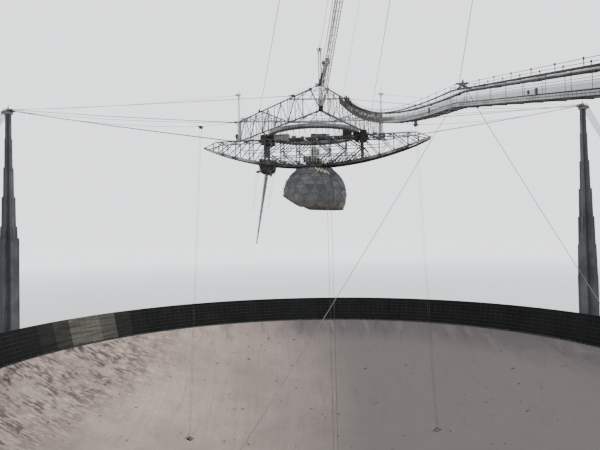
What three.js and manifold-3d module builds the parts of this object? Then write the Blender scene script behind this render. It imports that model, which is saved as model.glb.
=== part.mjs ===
// A radio telescope with a fixed bowl, modelled at 1:20: a spherical reflector on a ring of columns,
// three stepped towers, and a triangular platform hung from their cables. A bow-shaped arm turns
// under the platform and carries a round dome and a line feed. Millimetres, +Z up, origin on the
// ground under the bowl's centre, +X and +Y level.
import * as THREE from 'three';
import { mergeVertices } from 'three/addons/utils/BufferGeometryUtils.js';
import Module from 'manifold-3d';

// Scale: one metre of the real telescope is 50 mm of the model
const M = 50;
const GAP = 0.3;
const ROLLING_GAP = 0.8;

// Bowl, rim and mesh fence
const BOWL_RADIUS = 265.2 * M;
const BOWL_FLOOR = 3 * M;
const FOCUS_Z = BOWL_FLOOR + BOWL_RADIUS;
const RIM_RADIUS = 152.4 * M;
const BOWL_THICKNESS = 0.3 * M;
const BOWL_RINGS = 7;
const TURNS = 36;
const RIM_ANGLE = Math.asin(RIM_RADIUS / BOWL_RADIUS);
const RIM_Z = FOCUS_Z - BOWL_RADIUS * Math.cos(RIM_ANGLE);
const BEAM = { width: 2.6 * M, depth: 1.9 * M, above: 0.1 * M };
const COLUMN_WIDTH = 1.1 * M;
const COLUMNS_PER_SECTOR = 12;
const FENCE = { height: 15.24 * M, lean: 18.5, thickness: 0.14 * M, setback: 0.7 * M };
const FOOTING = { radius: 3.2 * M, sides: 12 };

// Towers, in a frame whose +X runs outward from the bowl's centre
const TOWERS = [
  { name: 'left', azimuth: 150, ground: 113.9 * M },
  { name: 'right', azimuth: 30, ground: 83 * M },
  { name: 'near', azimuth: -90, ground: 113.9 * M },
];
const TOWER_RADIUS = 213.4 * M;
const SHAFT_TOP = 191.7 * M;
const SHAFT_FIRST = 15.5 * M;
const SHAFT_STEP = 18.3 * M;
const SHAFT_WIDTHS = [3.6, 4.4, 5.8, 7.7, 9.4, 10.7].map((metres) => metres * M);
const WING_SHARE = 0.42;
const SHAFT_TAPER = 0.94;
const PIER_WIDTH = 11 * M;
const HEAD = { collar: 3.9 * M, collarHeight: 1.5 * M, slab: 4.9 * M, slabHeight: 1 * M, hat: 2.2 * M };
const SLAB_Z = SHAFT_TOP + HEAD.collarHeight + HEAD.slabHeight / 2;

// Backstays and their anchors
const ANCHOR = { radius: 339 * M, top: 104 * M, width: 9 * M, depth: 13 * M };
const BACKSTAYS = 7;
const BACKSTAY_SAG = 2 * M;
const STAY_PITCH = 0.68 * M;

// Platform, an equilateral triangle of three flat trusses
const CORNER_RADIUS = 39 * M;
const CHORD = 0.7 * M;
const TRUSS_BAR = 0.3 * M;
const TRUSS_THICKNESS = 0.5 * M;
const PLATFORM_LOW = 156.45 * M;
const PLATFORM_HIGH = 166.25 * M;
const PLATFORM_PANELS = 12;
const POST_APOTHEM = 1 * M;
const MAST = { height: 12.4 * M, width: 1 * M, thickness: 0.4 * M, cap: 1.5 * M, rod: 2.4 * M };
const SIDE_LENGTH = CORNER_RADIUS * Math.sqrt(3);

// Azimuth ring under the platform
const RING = { web: 19.3 * M, webWidth: 0.4 * M, flange: 1.2 * M, flangeHeight: 0.3 * M, depth: 2.04 * M };
const RING_TOP = PLATFORM_LOW - GAP;
const RING_LOW = RING_TOP - RING.depth;

// Azimuth arm, a pair of bowed trusses, in a frame whose +X runs along it
const ARM_YAW = -12.3;
const ARM_HALF = 49.2 * M;
const ARM_BAYS = 16;
const ARM_TOP = 153.9 * M;
const ARM_TIP_TOP = 151.9 * M;
const ARM_SHOULDER = 43.05 * M;
const RAIL_RADIUS = 127 * M;
const GIRDER_DEPTH = 1.2 * M;
const ARM_CHORD = 0.6 * M;
const ARM_BAR = 0.34 * M;
const ARM_PLANE = 3.7 * M;
const ARM_THICKNESS = 0.5 * M;
const RAIL = { tread: 125.9 * M, height: 0.3 * M, width: 0.6 * M, facets: 32 };
const MID_DECK = { z: 146.2 * M, half: 18 * M, thickness: 0.4 * M };
const TOP_DECK_THICKNESS = 0.45 * M;

// Dome and line feed, in a frame whose origin is the bowl's centre of curvature
const DOME = { radius: 13.9 * M, depth: 139.2 * M, wall: 0.35 * M, roof: 127.9 * M, detail: 3 };
const MOUTH = {
  left: [-14.1 * M, -138.7 * M], corner: [-4.8 * M, -144.6 * M], right: [13 * M, -145.6 * M],
};
const CARRIAGE = { top: 124.6 * M, plane: 2.4 * M, plate: 0.35 * M, wheel: 0.36 * M, tread: 0.36 * M };
const DOME_CARRIAGE_HALF = 3.2 * M;
const FEED_ZENITH = 9.4;
const FEED_CARRIAGE_HALF = 3.4 * M;
const HOUSE = { top: 127.6 * M, bottom: 130.9 * M, halfTop: 3.4 * M, halfBottom: 1.7 * M, halfWidth: 2.4 * M };
const FEED = { top: 132.1 * M, bottom: 161.9 * M, discs: 12, topRadius: 0.72 * M, tipRadius: 0.3 * M };

// Catwalk, a hanging footbridge whose plane is x = WALK.x
const WALK = { x: 9.4 * M, width: 2 * M, deck: 0.5 * M, screen: 1.9 * M, screenThickness: 0.12 * M };
const WALK_LANDING = [-20 * M, 165.3 * M];
const WALK_KINK = [-155 * M, 128.2 * M];
const WALK_END = [-204.6 * M, 117 * M];
const ABUTMENT = { width: 3.4 * M, length: 5 * M };
const WALK_SAG = 5 * M;
const WALK_PANELS = 12;
const WALK_GUYS = [{ side: -1, azimuth: -105.7, up: 0.1 * M }, { side: 1, azimuth: -62.7, up: 2.4 * M }];

// Cables, as half widths of their four-sided sections
const MAIN_CABLE = 0.16 * M;
const MAIN_OFFSETS = [-0.95, -0.32, 0.32, 0.95].map((metres) => metres * M);
const LIGHT_CABLE = 0.11 * M;
const GUY_CABLE = 0.08 * M;
const MAIN_SAG = 0.6 * M;
const HIGH_SAG = 3 * M;
const MAST_LINE_SAG = 1.5 * M;
const MAST_SOCKET = 0.6 * M;
const GUY_SAG = 1.5 * M;

// The cables to the sides of the platform: how far along its side each one ends, and its sag
const SIDE_CABLES = [{ side: -1, share: 8 / 12, sag: 3 * M }, { side: 1, share: 9 / 12, sag: 0.5 * M }];
const SOCKET = { length: 1.2 * M, height: 0.8 * M };
const YOKE = { x: 61.7 * M, z: 166.3 * M, size: 1.6 * M };
const TIE = { ground: 72 * M, spread: 0.635 * M, block: 3 * M, blockTop: 3 * M, hole: 3.4 * M, holeX: 71.4 * M };

const wasm = await Module();
wasm.setup();

const telescope = new THREE.Group();
const radians = THREE.MathUtils.degToRad;

// Solids: joining and cutting closed geometries

function toSolid(source) {
  const bare = source.clone();
  bare.deleteAttribute('normal');
  bare.deleteAttribute('uv');
  const merged = mergeVertices(bare, 1e-3);
  const index = merged.index.array;
  const triVerts = [];
  for (let i = 0; i < index.length; i += 3) {
    const [a, b, c] = [index[i], index[i + 1], index[i + 2]];
    if (a !== b && b !== c && c !== a) triVerts.push(a, b, c);
  }
  const mesh = new wasm.Mesh({
    numProp: 3,
    vertProperties: new Float32Array(merged.attributes.position.array),
    triVerts: new Uint32Array(triVerts),
  });
  return new wasm.Manifold(mesh);
}

function toGeometry(solid) {
  const mesh = solid.getMesh();
  const indexed = new THREE.BufferGeometry();
  indexed.setAttribute('position', new THREE.BufferAttribute(new Float32Array(mesh.vertProperties), 3));
  indexed.setIndex(new THREE.BufferAttribute(new Uint32Array(mesh.triVerts), 1));
  const geometry = indexed.toNonIndexed();
  geometry.computeVertexNormals();
  return geometry;
}

function join(geometries) {
  const solids = geometries.map(toSolid);
  return toGeometry(solids.reduce((whole, next) => whole.add(next)));
}

function cut(geometry, cutters) {
  const solid = toSolid(geometry);
  return toGeometry(cutters.map(toSolid).reduce((whole, next) => whole.subtract(next), solid));
}

function common(geometry, other) {
  return toGeometry(toSolid(geometry).intersect(toSolid(other)));
}

function piece(name, geometry, finish, parent) {
  const mesh = new THREE.Mesh(geometry, new THREE.MeshStandardMaterial(finish));
  mesh.name = name;
  parent.add(mesh);
  return mesh;
}

// Finishes
const CONCRETE = { color: 0xa39b8e, roughness: 0.9, metalness: 0 };
const PALE_CONCRETE = { color: 0xb4ada1, roughness: 0.9, metalness: 0 };
const PANEL = { color: 0xaa9b96, roughness: 0.7, metalness: 0.4 };
const FENCE_MESH = { color: 0x8d8f90, roughness: 0.6, metalness: 0.5 };
const STEEL = { color: 0xa7a9a8, roughness: 0.55, metalness: 0.5 };
const DARK_STEEL = { color: 0x4a4a4b, roughness: 0.6, metalness: 0.5 };
const CABLE = { color: 0x5b5b5c, roughness: 0.5, metalness: 0.6 };
const DOME_PANEL = { color: 0x9a9896, roughness: 0.55, metalness: 0.5 };
const CABIN = { color: 0xb9bab8, roughness: 0.6, metalness: 0.2 };

// Shapes: bars, cables, flat lattices and turned rings

function box(x, y, z, centre) {
  return new THREE.BoxGeometry(x, y, z).translate(...centre);
}

function cable(from, to, sag, radius, steps = 4) {
  const start = new THREE.Vector3(...from);
  const end = new THREE.Vector3(...to);
  const control = start.clone().add(end).multiplyScalar(0.5);
  control.z -= 2 * sag;
  const section = new THREE.Shape([
    new THREE.Vector2(radius, 0), new THREE.Vector2(0, radius),
    new THREE.Vector2(-radius, 0), new THREE.Vector2(0, -radius),
  ]);
  const extrudePath = new THREE.QuadraticBezierCurve3(start, control, end);
  return new THREE.ExtrudeGeometry(section, { steps, extrudePath, bevelEnabled: false });
}

function plate(outline, thickness) {
  const shape = new THREE.Shape(outline.map(([x, y]) => new THREE.Vector2(x, y)));
  const geometry = new THREE.ExtrudeGeometry(shape, { depth: thickness, bevelEnabled: false });
  return geometry.translate(0, 0, -thickness / 2);
}

function openPlate(outline, holes, thickness) {
  return cut(plate(outline, thickness), holes.map((hole) => plate(hole, 1.5 * thickness)));
}

// Stands a plate drawn in X and Y up on its edge, so that its Y becomes Z.
function upright(geometry) {
  return geometry.rotateX(Math.PI / 2);
}

// The triangle whose sides lie a distance inside those of the given one, or nothing if it is too small.
function shrink(corners, distance) {
  const [a, b, c] = corners.map(([x, y]) => new THREE.Vector2(x, y));
  const sides = [b.distanceTo(c), c.distanceTo(a), a.distanceTo(b)];
  const perimeter = sides[0] + sides[1] + sides[2];
  const centre = a.clone().multiplyScalar(sides[0]).addScaledVector(b, sides[1])
    .addScaledVector(c, sides[2]).divideScalar(perimeter);
  const area = Math.abs(b.clone().sub(a).cross(c.clone().sub(a))) / 2;
  const keep = 1 - (distance * perimeter) / (2 * area);
  if (keep < 0.12) return [];
  return [[a, b, c].map((p) => p.sub(centre).multiplyScalar(keep).add(centre).toArray())];
}

function dropStraight(points) {
  const straight = (p, q, r) => Math.abs((q[0] - p[0]) * (r[1] - p[1]) - (q[1] - p[1]) * (r[0] - p[0])) < 1;
  return points.filter((q, i) => i === 0 || i === points.length - 1 || !straight(points[i - 1], q, points[i + 1]));
}

function stations(from, to, count) {
  return Array.from({ length: count + 1 }, (_, i) => from + ((to - from) * i) / count);
}

// A flat truss between a lower and an upper edge, with a diagonal in each bay.
function truss({ at, low, high, lowChord, highChord, bar, thickness }) {
  const edge = (f) => dropStraight(at.map((x) => [x, f(x)]));
  const outline = [...edge(low), ...edge(high).reverse()];
  const half = bar / 2;
  const lower = (x) => [x, low(x) + lowChord - half];
  const upper = (x) => [x, high(x) - highChord + half];
  const holes = [];
  for (let i = 0; i + 1 < at.length; i += 1) {
    const [left, right] = [at[i], at[i + 1]];
    const rises = i % 2 === 0;
    const first = rises ? [lower(left), lower(right), upper(right)] : [lower(left), lower(right), upper(left)];
    const second = rises ? [lower(left), upper(right), upper(left)] : [lower(right), upper(right), upper(left)];
    const deep = Math.min(upper(left)[1] - lower(left)[1], upper(right)[1] - lower(right)[1]);
    if (deep > bar) holes.push(...shrink(first, half), ...shrink(second, half));
  }
  return openPlate(outline, holes, thickness);
}

function turned(profile, turns) {
  const points = profile.map(([r, z]) => new THREE.Vector2(r, z));
  return new THREE.LatheGeometry(points, turns).rotateX(Math.PI / 2);
}

function ringOf(profile, turns) {
  return turned([...profile, profile[0]], turns);
}

// The third of the plan that lies round +X, with half a gap left at each side.
function sector(reach, height) {
  const apex = GAP / 2 / Math.sin(Math.PI / 3);
  const side = 2.4 * reach;
  const outline = [
    [apex, 0], [apex + side / 2, -side * Math.sin(Math.PI / 3)],
    [apex + side, 0], [apex + side / 2, side * Math.sin(Math.PI / 3)],
  ];
  return plate(outline, height).translate(0, 0, height / 2 - M);
}

// Bowl, rim and fence, one third for each tower

function bowl() {
  const arc = (radius) => stations(0, RIM_ANGLE, BOWL_RINGS)
    .map((angle) => [radius * Math.sin(angle), FOCUS_Z - radius * Math.cos(angle)]);
  return turned([...arc(BOWL_RADIUS + BOWL_THICKNESS), ...arc(BOWL_RADIUS).reverse()], TURNS);
}

const BEAM_INNER = RIM_RADIUS + BOWL_THICKNESS * Math.sin(RIM_ANGLE) + GAP;
const BEAM_OUTER = BEAM_INNER + BEAM.width;
const BEAM_TOP = RIM_Z + BEAM.above;
const BEAM_LOW = BEAM_TOP - BEAM.depth;
const BEAM_MIDDLE = (BEAM_INNER + BEAM_OUTER) / 2;

function rimBeam() {
  return ringOf([
    [BEAM_INNER, BEAM_LOW], [BEAM_OUTER, BEAM_LOW], [BEAM_OUTER, BEAM_TOP], [BEAM_INNER, BEAM_TOP],
  ], TURNS);
}

function fence() {
  const lean = FENCE.height * Math.tan(radians(FENCE.lean));
  const foot = BEAM_OUTER - FENCE.setback;
  const low = BEAM_TOP + GAP;
  const top = low + FENCE.height;
  return ringOf([
    [foot, low], [foot + FENCE.thickness, low], [foot + FENCE.thickness + lean, top], [foot + lean, top],
  ], TURNS);
}

function rimColumns() {
  const height = BEAM_LOW + BEAM.depth / 2;
  return stations(-55, 55, COLUMNS_PER_SECTOR - 1).map((azimuth) => {
    const column = box(COLUMN_WIDTH, COLUMN_WIDTH, height, [BEAM_MIDDLE, 0, height / 2]);
    return column.rotateZ(radians(azimuth));
  });
}

function addBowlSector(name, parent) {
  const third = sector(RIM_RADIUS * 1.1, FOCUS_Z);
  const tieHole = box(TIE.hole, TIE.hole, 20 * M, [TIE.holeX, 0, 12 * M]);
  piece(`reflector_${name}`, cut(common(bowl(), third), [tieHole]), PANEL, parent);
  piece(`rim_frame_${name}`, join([common(rimBeam(), third), ...rimColumns()]), CONCRETE, parent);
  piece(`ground_screen_${name}`, common(fence(), third), FENCE_MESH, parent);
}

// Towers with their heads, backstays and suspension cables

function crossPrism(width, height, taper) {
  const arm = width / 2;
  const wing = (width * WING_SHARE) / 2;
  const outline = [
    [wing, wing], [wing, arm], [-wing, arm], [-wing, wing], [-arm, wing], [-arm, -wing],
    [-wing, -wing], [-wing, -arm], [wing, -arm], [wing, -wing], [arm, -wing], [arm, wing],
  ];
  const prism = plate(outline, height).translate(0, 0, height / 2);
  const spots = prism.attributes.position;
  for (let i = 0; i < spots.count; i += 1) {
    const share = 1 + ((taper - 1) * spots.getZ(i)) / height;
    spots.setXY(i, spots.getX(i) * share, spots.getY(i) * share);
  }
  return prism;
}

function towerShaft(ground) {
  const overlap = M;
  const lengths = [crossPrism(PIER_WIDTH, ground, 1)];
  SHAFT_WIDTHS.forEach((width, i) => {
    const top = i === 0 ? SHAFT_TOP : SHAFT_TOP - SHAFT_FIRST - (i - 1) * SHAFT_STEP;
    const next = SHAFT_TOP - SHAFT_FIRST - i * SHAFT_STEP;
    const last = i === SHAFT_WIDTHS.length - 1 || next <= ground;
    const foot = (last ? ground : next) - overlap;
    if (top > ground + M) lengths.push(crossPrism(width, top - foot, SHAFT_TAPER).translate(0, 0, foot));
  });
  return join(lengths);
}

function towerHead() {
  const collarFoot = SHAFT_TOP + GAP;
  const slabFoot = SLAB_Z - HEAD.slabHeight / 2;
  const collarHeight = slabFoot - collarFoot + HEAD.slabHeight / 2;
  const hatFoot = SLAB_Z + HEAD.slabHeight / 4;
  const hat = new THREE.CylinderGeometry(0.4 * M, HEAD.slab * 0.34, HEAD.hat, 8).rotateX(Math.PI / 2);
  const finialHeight = 1.8 * M;
  return join([
    box(HEAD.collar, HEAD.collar, collarHeight, [0, 0, collarFoot + collarHeight / 2]),
    box(HEAD.slab, HEAD.slab, HEAD.slabHeight, [0, 0, SLAB_Z]),
    hat.translate(0, 0, hatFoot + HEAD.hat / 2),
    box(0.3 * M, 0.3 * M, finialHeight, [0, 0, hatFoot + HEAD.hat + finialHeight / 2 - 0.2 * M]),
  ]);
}

// Cable sockets start this far from the tower's axis, just clear of the head slab.
const HEAD_FACE = HEAD.slab / 2 + GAP;

function backstays() {
  const headX = TOWER_RADIUS + HEAD_FACE;
  const footX = ANCHOR.radius - ANCHOR.depth / 2 - GAP;
  const footZ = ANCHOR.top - 1.6 * M;
  const width = BACKSTAYS * STAY_PITCH;
  const parts = [
    box(SOCKET.length, width, SOCKET.height, [headX + SOCKET.length / 2, 0, SLAB_Z]),
    box(SOCKET.length, width, SOCKET.height * 2, [footX - SOCKET.length / 2, 0, footZ]),
  ];
  for (let i = 0; i < BACKSTAYS; i += 1) {
    const y = (i - (BACKSTAYS - 1) / 2) * STAY_PITCH;
    const from = [headX + SOCKET.length / 2, y, SLAB_Z];
    parts.push(cable(from, [footX - SOCKET.length / 2, y, footZ], BACKSTAY_SAG, MAIN_CABLE));
  }
  return join(parts);
}

function anchorBlock() {
  return box(ANCHOR.depth, ANCHOR.width, ANCHOR.top, [ANCHOR.radius, 0, ANCHOR.top / 2]);
}

// Sockets on the platform side start just clear of the corner post's outer edge.
const CORNER_EDGE = CORNER_RADIUS + POST_APOTHEM / Math.cos(Math.PI / 6) + GAP;
const HEAD_SOCKET_X = TOWER_RADIUS - HEAD_FACE - SOCKET.length / 2;

function suspensionCables() {
  const lowZ = PLATFORM_LOW + CHORD / 2;
  const highZ = PLATFORM_HIGH - CHORD / 2;
  const cornerX = CORNER_EDGE + SOCKET.length / 2;
  const parts = [
    box(SOCKET.length, 4.6 * M, SOCKET.height, [HEAD_SOCKET_X, 0, SLAB_Z]),
    box(SOCKET.length, 2.6 * M, SOCKET.height, [cornerX, 0, lowZ]),
  ];
  MAIN_OFFSETS.forEach((y) => {
    parts.push(cable([HEAD_SOCKET_X, y, SLAB_Z], [cornerX, y, lowZ], MAIN_SAG, MAIN_CABLE));
  });
  SIDE_CABLES.forEach(({ side, share, sag }) => {
    const seat = sideOutward(side, share);
    parts.push(box(SOCKET.length, SOCKET.length, SOCKET.height, [seat.x, seat.y, highZ]));
    parts.push(cable([HEAD_SOCKET_X, side * 1.95 * M, SLAB_Z], [seat.x, seat.y, highZ], sag, LIGHT_CABLE, 6));
  });
  return join(parts);
}

// Where a side cable's socket stands, just outside the side that it is fixed to.
function sideOutward(side, share) {
  const along = SIDE_LENGTH * share;
  const point = new THREE.Vector2(CORNER_RADIUS - along * Math.cos(Math.PI / 6), side * along / 2);
  const outward = new THREE.Vector2(0.5, side * Math.cos(Math.PI / 6));
  const reach = SOCKET.length / 2 * (outward.x + Math.abs(outward.y));
  return point.addScaledVector(outward, TRUSS_THICKNESS / 2 + GAP + reach);
}

// The upper cables: to the corner's top, to its mast, and to the yoke that the ties hang from. The two
// ties run from the yoke through the bowl to a block on the ground.
function tieDown() {
  const cornerX = CORNER_EDGE + SOCKET.length / 2;
  const highZ = PLATFORM_HIGH - CHORD / 2;
  const headZ = SLAB_Z + SOCKET.height + GAP;
  const blockLow = TIE.blockTop / 2;
  const mastX = CORNER_RADIUS + MAST.cap / 2 + GAP + MAST_SOCKET / 2;
  const mastZ = PLATFORM_HIGH + MAST.height;
  const parts = [
    box(SOCKET.length, 1.2 * M, SOCKET.height * 0.6, [HEAD_SOCKET_X, 0, headZ]),
    box(SOCKET.length, 1.2 * M, SOCKET.height, [cornerX, 0, highZ]),
    box(YOKE.size, YOKE.size * 1.5, YOKE.size * 0.6, [YOKE.x, 0, YOKE.z]),
    box(TIE.block, TIE.block, TIE.blockTop, [TIE.ground, 0, blockLow]),
    box(MAST_SOCKET, MAST_SOCKET, MAST_SOCKET, [mastX, 0, mastZ]),
    cable([HEAD_SOCKET_X, 0, headZ], [mastX, 0, mastZ], MAST_LINE_SAG, GUY_CABLE, 6),
    cable([HEAD_SOCKET_X, 0, headZ], [YOKE.x, 0, YOKE.z], HIGH_SAG, LIGHT_CABLE, 6),
    cable([YOKE.x, 0, YOKE.z], [cornerX, 0, highZ], 0.1 * M, LIGHT_CABLE, 2),
  ];
  [-1, 1].forEach((side) => {
    const y = side * TIE.spread;
    parts.push(cable([YOKE.x, y, YOKE.z], [TIE.ground, y, blockLow], 0, LIGHT_CABLE, 2));
    parts.push(cable([HEAD_SOCKET_X, y / 2, headZ], [cornerX, y / 2, highZ], MAIN_SAG, LIGHT_CABLE));
  });
  return join(parts);
}

function addTower({ name, azimuth, ground }) {
  const radial = new THREE.Group();
  radial.rotation.z = radians(azimuth);
  telescope.add(radial);
  piece(`tower_${name}`, towerShaft(ground), CONCRETE, radial).position.x = TOWER_RADIUS;
  piece(`tower_head_${name}`, towerHead(), PALE_CONCRETE, radial).position.x = TOWER_RADIUS;
  piece(`backstays_${name}`, backstays(), CABLE, radial);
  piece(`anchor_${name}`, anchorBlock(), CONCRETE, radial);
  piece(`suspension_cables_${name}`, suspensionCables(), CABLE, radial);
  piece(`tie_down_${name}`, tieDown(), CABLE, radial);
  piece(`platform_corner_${name}`, platformCorner(), STEEL, radial);
  addBowlSector(name, radial);
}

// Platform: corners with their masts and cross trusses, then the three sides

// Half the width, at a distance from the centre, of the space between the two side trusses.
function halfWidthAt(x) {
  return (CORNER_RADIUS - x) * Math.tan(Math.PI / 6) - TRUSS_THICKNESS / 2 / Math.cos(Math.PI / 6) - 2 * GAP;
}

function fanPlate(z) {
  const cross = CORNER_RADIUS / 2;
  const tip = CORNER_RADIUS - POST_APOTHEM + 0.05 * M;
  const base = cross + TRUSS_THICKNESS / 2;
  const outline = [
    [cross, -halfWidthAt(base)], [base, -halfWidthAt(base)], [tip, -halfWidthAt(tip)],
    [tip, halfWidthAt(tip)], [base, halfWidthAt(base)], [cross, halfWidthAt(base)],
  ];
  const edges = stations(-halfWidthAt(base), halfWidthAt(base), 4);
  const holes = edges.slice(1).flatMap((y, i) => shrink([[base, edges[i]], [base, y], [tip, 0]], TRUSS_BAR / 2));
  return openPlate(outline, holes, CHORD / 2).translate(0, 0, z);
}

function crossTruss() {
  const half = halfWidthAt(CORNER_RADIUS / 2 + TRUSS_THICKNESS / 2);
  const panel = truss({
    at: stations(-half, half, 4),
    low: () => PLATFORM_LOW,
    high: () => PLATFORM_HIGH,
    lowChord: CHORD,
    highChord: CHORD,
    bar: TRUSS_BAR,
    thickness: TRUSS_THICKNESS * 0.9,
  });
  return upright(panel).rotateZ(Math.PI / 2).translate(CORNER_RADIUS / 2, 0, 0);
}

function mast() {
  const half = MAST.width / 2;
  const foot = PLATFORM_HIGH - CHORD;
  const top = PLATFORM_HIGH + MAST.height;
  const legs = truss({
    at: stations(foot, top, 6),
    low: () => -half,
    high: () => half,
    lowChord: TRUSS_BAR / 2,
    highChord: TRUSS_BAR / 2,
    bar: TRUSS_BAR / 2,
    thickness: MAST.thickness,
  });
  return [
    legs.rotateY(-Math.PI / 2).translate(CORNER_RADIUS, 0, 0),
    box(MAST.cap, MAST.cap, MAST.cap, [CORNER_RADIUS, 0, top]),
    box(0.15 * M, 0.15 * M, MAST.rod, [CORNER_RADIUS, 0, top + MAST.cap / 2 + MAST.rod / 2 - GAP]),
  ];
}

function platformCorner() {
  const height = PLATFORM_HIGH - PLATFORM_LOW;
  const radius = POST_APOTHEM / Math.cos(Math.PI / 6);
  const post = new THREE.CylinderGeometry(radius, radius, height, 6).rotateX(Math.PI / 2);
  return join([
    post.rotateZ(Math.PI / 2).translate(CORNER_RADIUS, 0, PLATFORM_LOW + height / 2),
    crossTruss(),
    fanPlate(PLATFORM_LOW + CHORD / 4),
    fanPlate(PLATFORM_HIGH - CHORD / 4),
    ...mast(),
  ]);
}

function sideTruss() {
  const half = SIDE_LENGTH / 2 - POST_APOTHEM - GAP;
  return upright(truss({
    at: stations(-half, half, PLATFORM_PANELS),
    low: () => PLATFORM_LOW,
    high: () => PLATFORM_HIGH,
    lowChord: CHORD,
    highChord: CHORD,
    bar: TRUSS_BAR,
    thickness: TRUSS_THICKNESS,
  }));
}

function addSideTrusses() {
  const sides = [['near_left', 210], ['near_right', 330], ['far', 90]];
  sides.forEach(([name, azimuth]) => {
    const side = piece(`side_truss_${name}`, sideTruss(), STEEL, telescope);
    side.rotation.z = radians(azimuth + 90);
    side.position.set(
      CORNER_RADIUS / 2 * Math.cos(radians(azimuth)), CORNER_RADIUS / 2 * Math.sin(radians(azimuth)), 0,
    );
  });
}

function azimuthRing() {
  const inner = RING.web - RING.webWidth / 2;
  const outer = RING.web + RING.webWidth / 2;
  const lowInner = RING.web - RING.flange / 2;
  const lowOuter = RING.web + RING.flange / 2;
  const flangeTop = RING_LOW + RING.flangeHeight;
  return ringOf([
    [lowInner, RING_LOW], [lowOuter, RING_LOW], [lowOuter, flangeTop], [outer, flangeTop],
    [outer, RING_TOP], [inner, RING_TOP], [inner, flangeTop], [lowInner, flangeTop],
  ], TURNS);
}

// Catwalk from the near tower's pier to the platform

function walkSpan(y) {
  if (y < WALK_KINK[0]) {
    const share = (y - WALK_KINK[0]) / (WALK_END[0] - WALK_KINK[0]);
    return WALK_KINK[1] + share * (WALK_END[1] - WALK_KINK[1]);
  }
  const share = (y - WALK_LANDING[0]) / (WALK_KINK[0] - WALK_LANDING[0]);
  const chord = WALK_LANDING[1] + share * (WALK_KINK[1] - WALK_LANDING[1]);
  return chord - 4 * WALK_SAG * share * (1 - share);
}

// A strip of the given heights above the deck's underside, in the catwalk's own plane.
function walkStrip(low, high, thickness, shift) {
  const at = [WALK_END[0], ...stations(WALK_KINK[0], WALK_LANDING[0], WALK_PANELS)];
  const edge = (lift) => at.map((y) => [y, walkSpan(y) + lift]);
  const strip = upright(plate([...edge(low), ...edge(high).reverse()], thickness)).rotateZ(Math.PI / 2);
  return cut(strip.translate(shift, 0, 0), [platformPrism()]);
}

// The platform's plan with a gap round it.
function platformPrism() {
  const reach = CORNER_RADIUS + TRUSS_THICKNESS + 2 * GAP;
  const outline = [-90, 30, 150].map((azimuth) => [
    reach * Math.cos(radians(azimuth)), reach * Math.sin(radians(azimuth)),
  ]);
  return plate(outline, 30 * M).translate(0, 0, PLATFORM_HIGH);
}

function addCatwalk() {
  piece('catwalk_deck', walkStrip(0, WALK.deck, WALK.width, WALK.x), DARK_STEEL, telescope);
  [['left', -1], ['right', 1]].forEach(([name, side]) => {
    const x = WALK.x + side * (WALK.width - WALK.screenThickness) / 2;
    const screen = walkStrip(WALK.deck + GAP, WALK.deck + WALK.screen, WALK.screenThickness, x);
    piece(`catwalk_screen_${name}`, screen, FENCE_MESH, telescope);
  });
  piece('catwalk_stays', catwalkStays(), CABLE, telescope);
  piece('catwalk_abutment', catwalkAbutment(), CONCRETE, telescope);
}

// The pier that the catwalk's lower end butts against.
function catwalkAbutment() {
  const height = WALK_END[1] + WALK.deck;
  const y = WALK_END[0] - GAP - ABUTMENT.length / 2;
  return box(ABUTMENT.width, ABUTMENT.length, height, [WALK.x, y, height / 2]);
}

// The portal at the kink, its hanger to the tower head, and its two guys to the rim beam.
function catwalkStays() {
  const [y, z] = WALK_KINK;
  const clear = WALK.width / 2 + GAP;
  const leg = 0.2 * M;
  const beam = 0.4 * M;
  const top = z + WALK.deck + WALK.screen + 0.3 * M;
  const low = z - 0.3 * M;
  const headSocket = [HEAD_FACE + 0.5 * M, -TOWER_RADIUS, SLAB_Z];
  const parts = [
    box(2 * clear + 2 * leg, beam, beam, [WALK.x, y, top]),
    box(M, M, M * 0.9, headSocket),
    cable([WALK.x, y, top], headSocket, M, GUY_CABLE),
  ];
  WALK_GUYS.forEach((guy) => {
    const x = WALK.x + guy.side * (clear + leg / 2);
    const azimuth = radians(guy.azimuth);
    const radius = BEAM_INNER + 0.8 * M;
    const foot = [radius * Math.cos(azimuth), radius * Math.sin(azimuth), BEAM_TOP + GAP + 0.4 * M];
    parts.push(box(leg, leg, top - low, [x, y, (top + low) / 2]));
    parts.push(box(0.8 * M, 0.8 * M, 0.8 * M, foot));
    parts.push(cable([x, y, z + guy.up], foot, GUY_SAG, GUY_CABLE));
  });
  return join(parts);
}

// Azimuth arm

function armLow(x) {
  return FOCUS_Z - Math.sqrt(RAIL_RADIUS ** 2 - x ** 2);
}

function armHigh(x) {
  const beyond = Math.max(0, Math.abs(x) - ARM_SHOULDER) / (ARM_HALF - ARM_SHOULDER);
  return ARM_TOP + beyond * (ARM_TIP_TOP - ARM_TOP);
}

// The tread that the carriages' wheels run on, along the inner face of a girder.
function rail() {
  const at = stations(-ARM_HALF + 2 * M, ARM_HALF - 2 * M, RAIL.facets);
  const edge = (radius) => at.map((x) => [x, FOCUS_Z - Math.sqrt(radius ** 2 - x ** 2)]);
  const outline = [...edge(RAIL.tread + RAIL.height), ...edge(RAIL.tread).reverse()];
  return upright(plate(outline, RAIL.width));
}

function armTruss(side) {
  const frame = upright(truss({
    at: stations(-ARM_HALF, ARM_HALF, ARM_BAYS),
    low: armLow,
    high: armHigh,
    lowChord: GIRDER_DEPTH,
    highChord: ARM_CHORD,
    bar: ARM_BAR,
    thickness: ARM_THICKNESS,
  }));
  const inward = ARM_THICKNESS / 2 + RAIL.width / 2 - 0.05 * M;
  return join([frame, rail().translate(0, -side * inward, 0)]);
}

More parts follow.
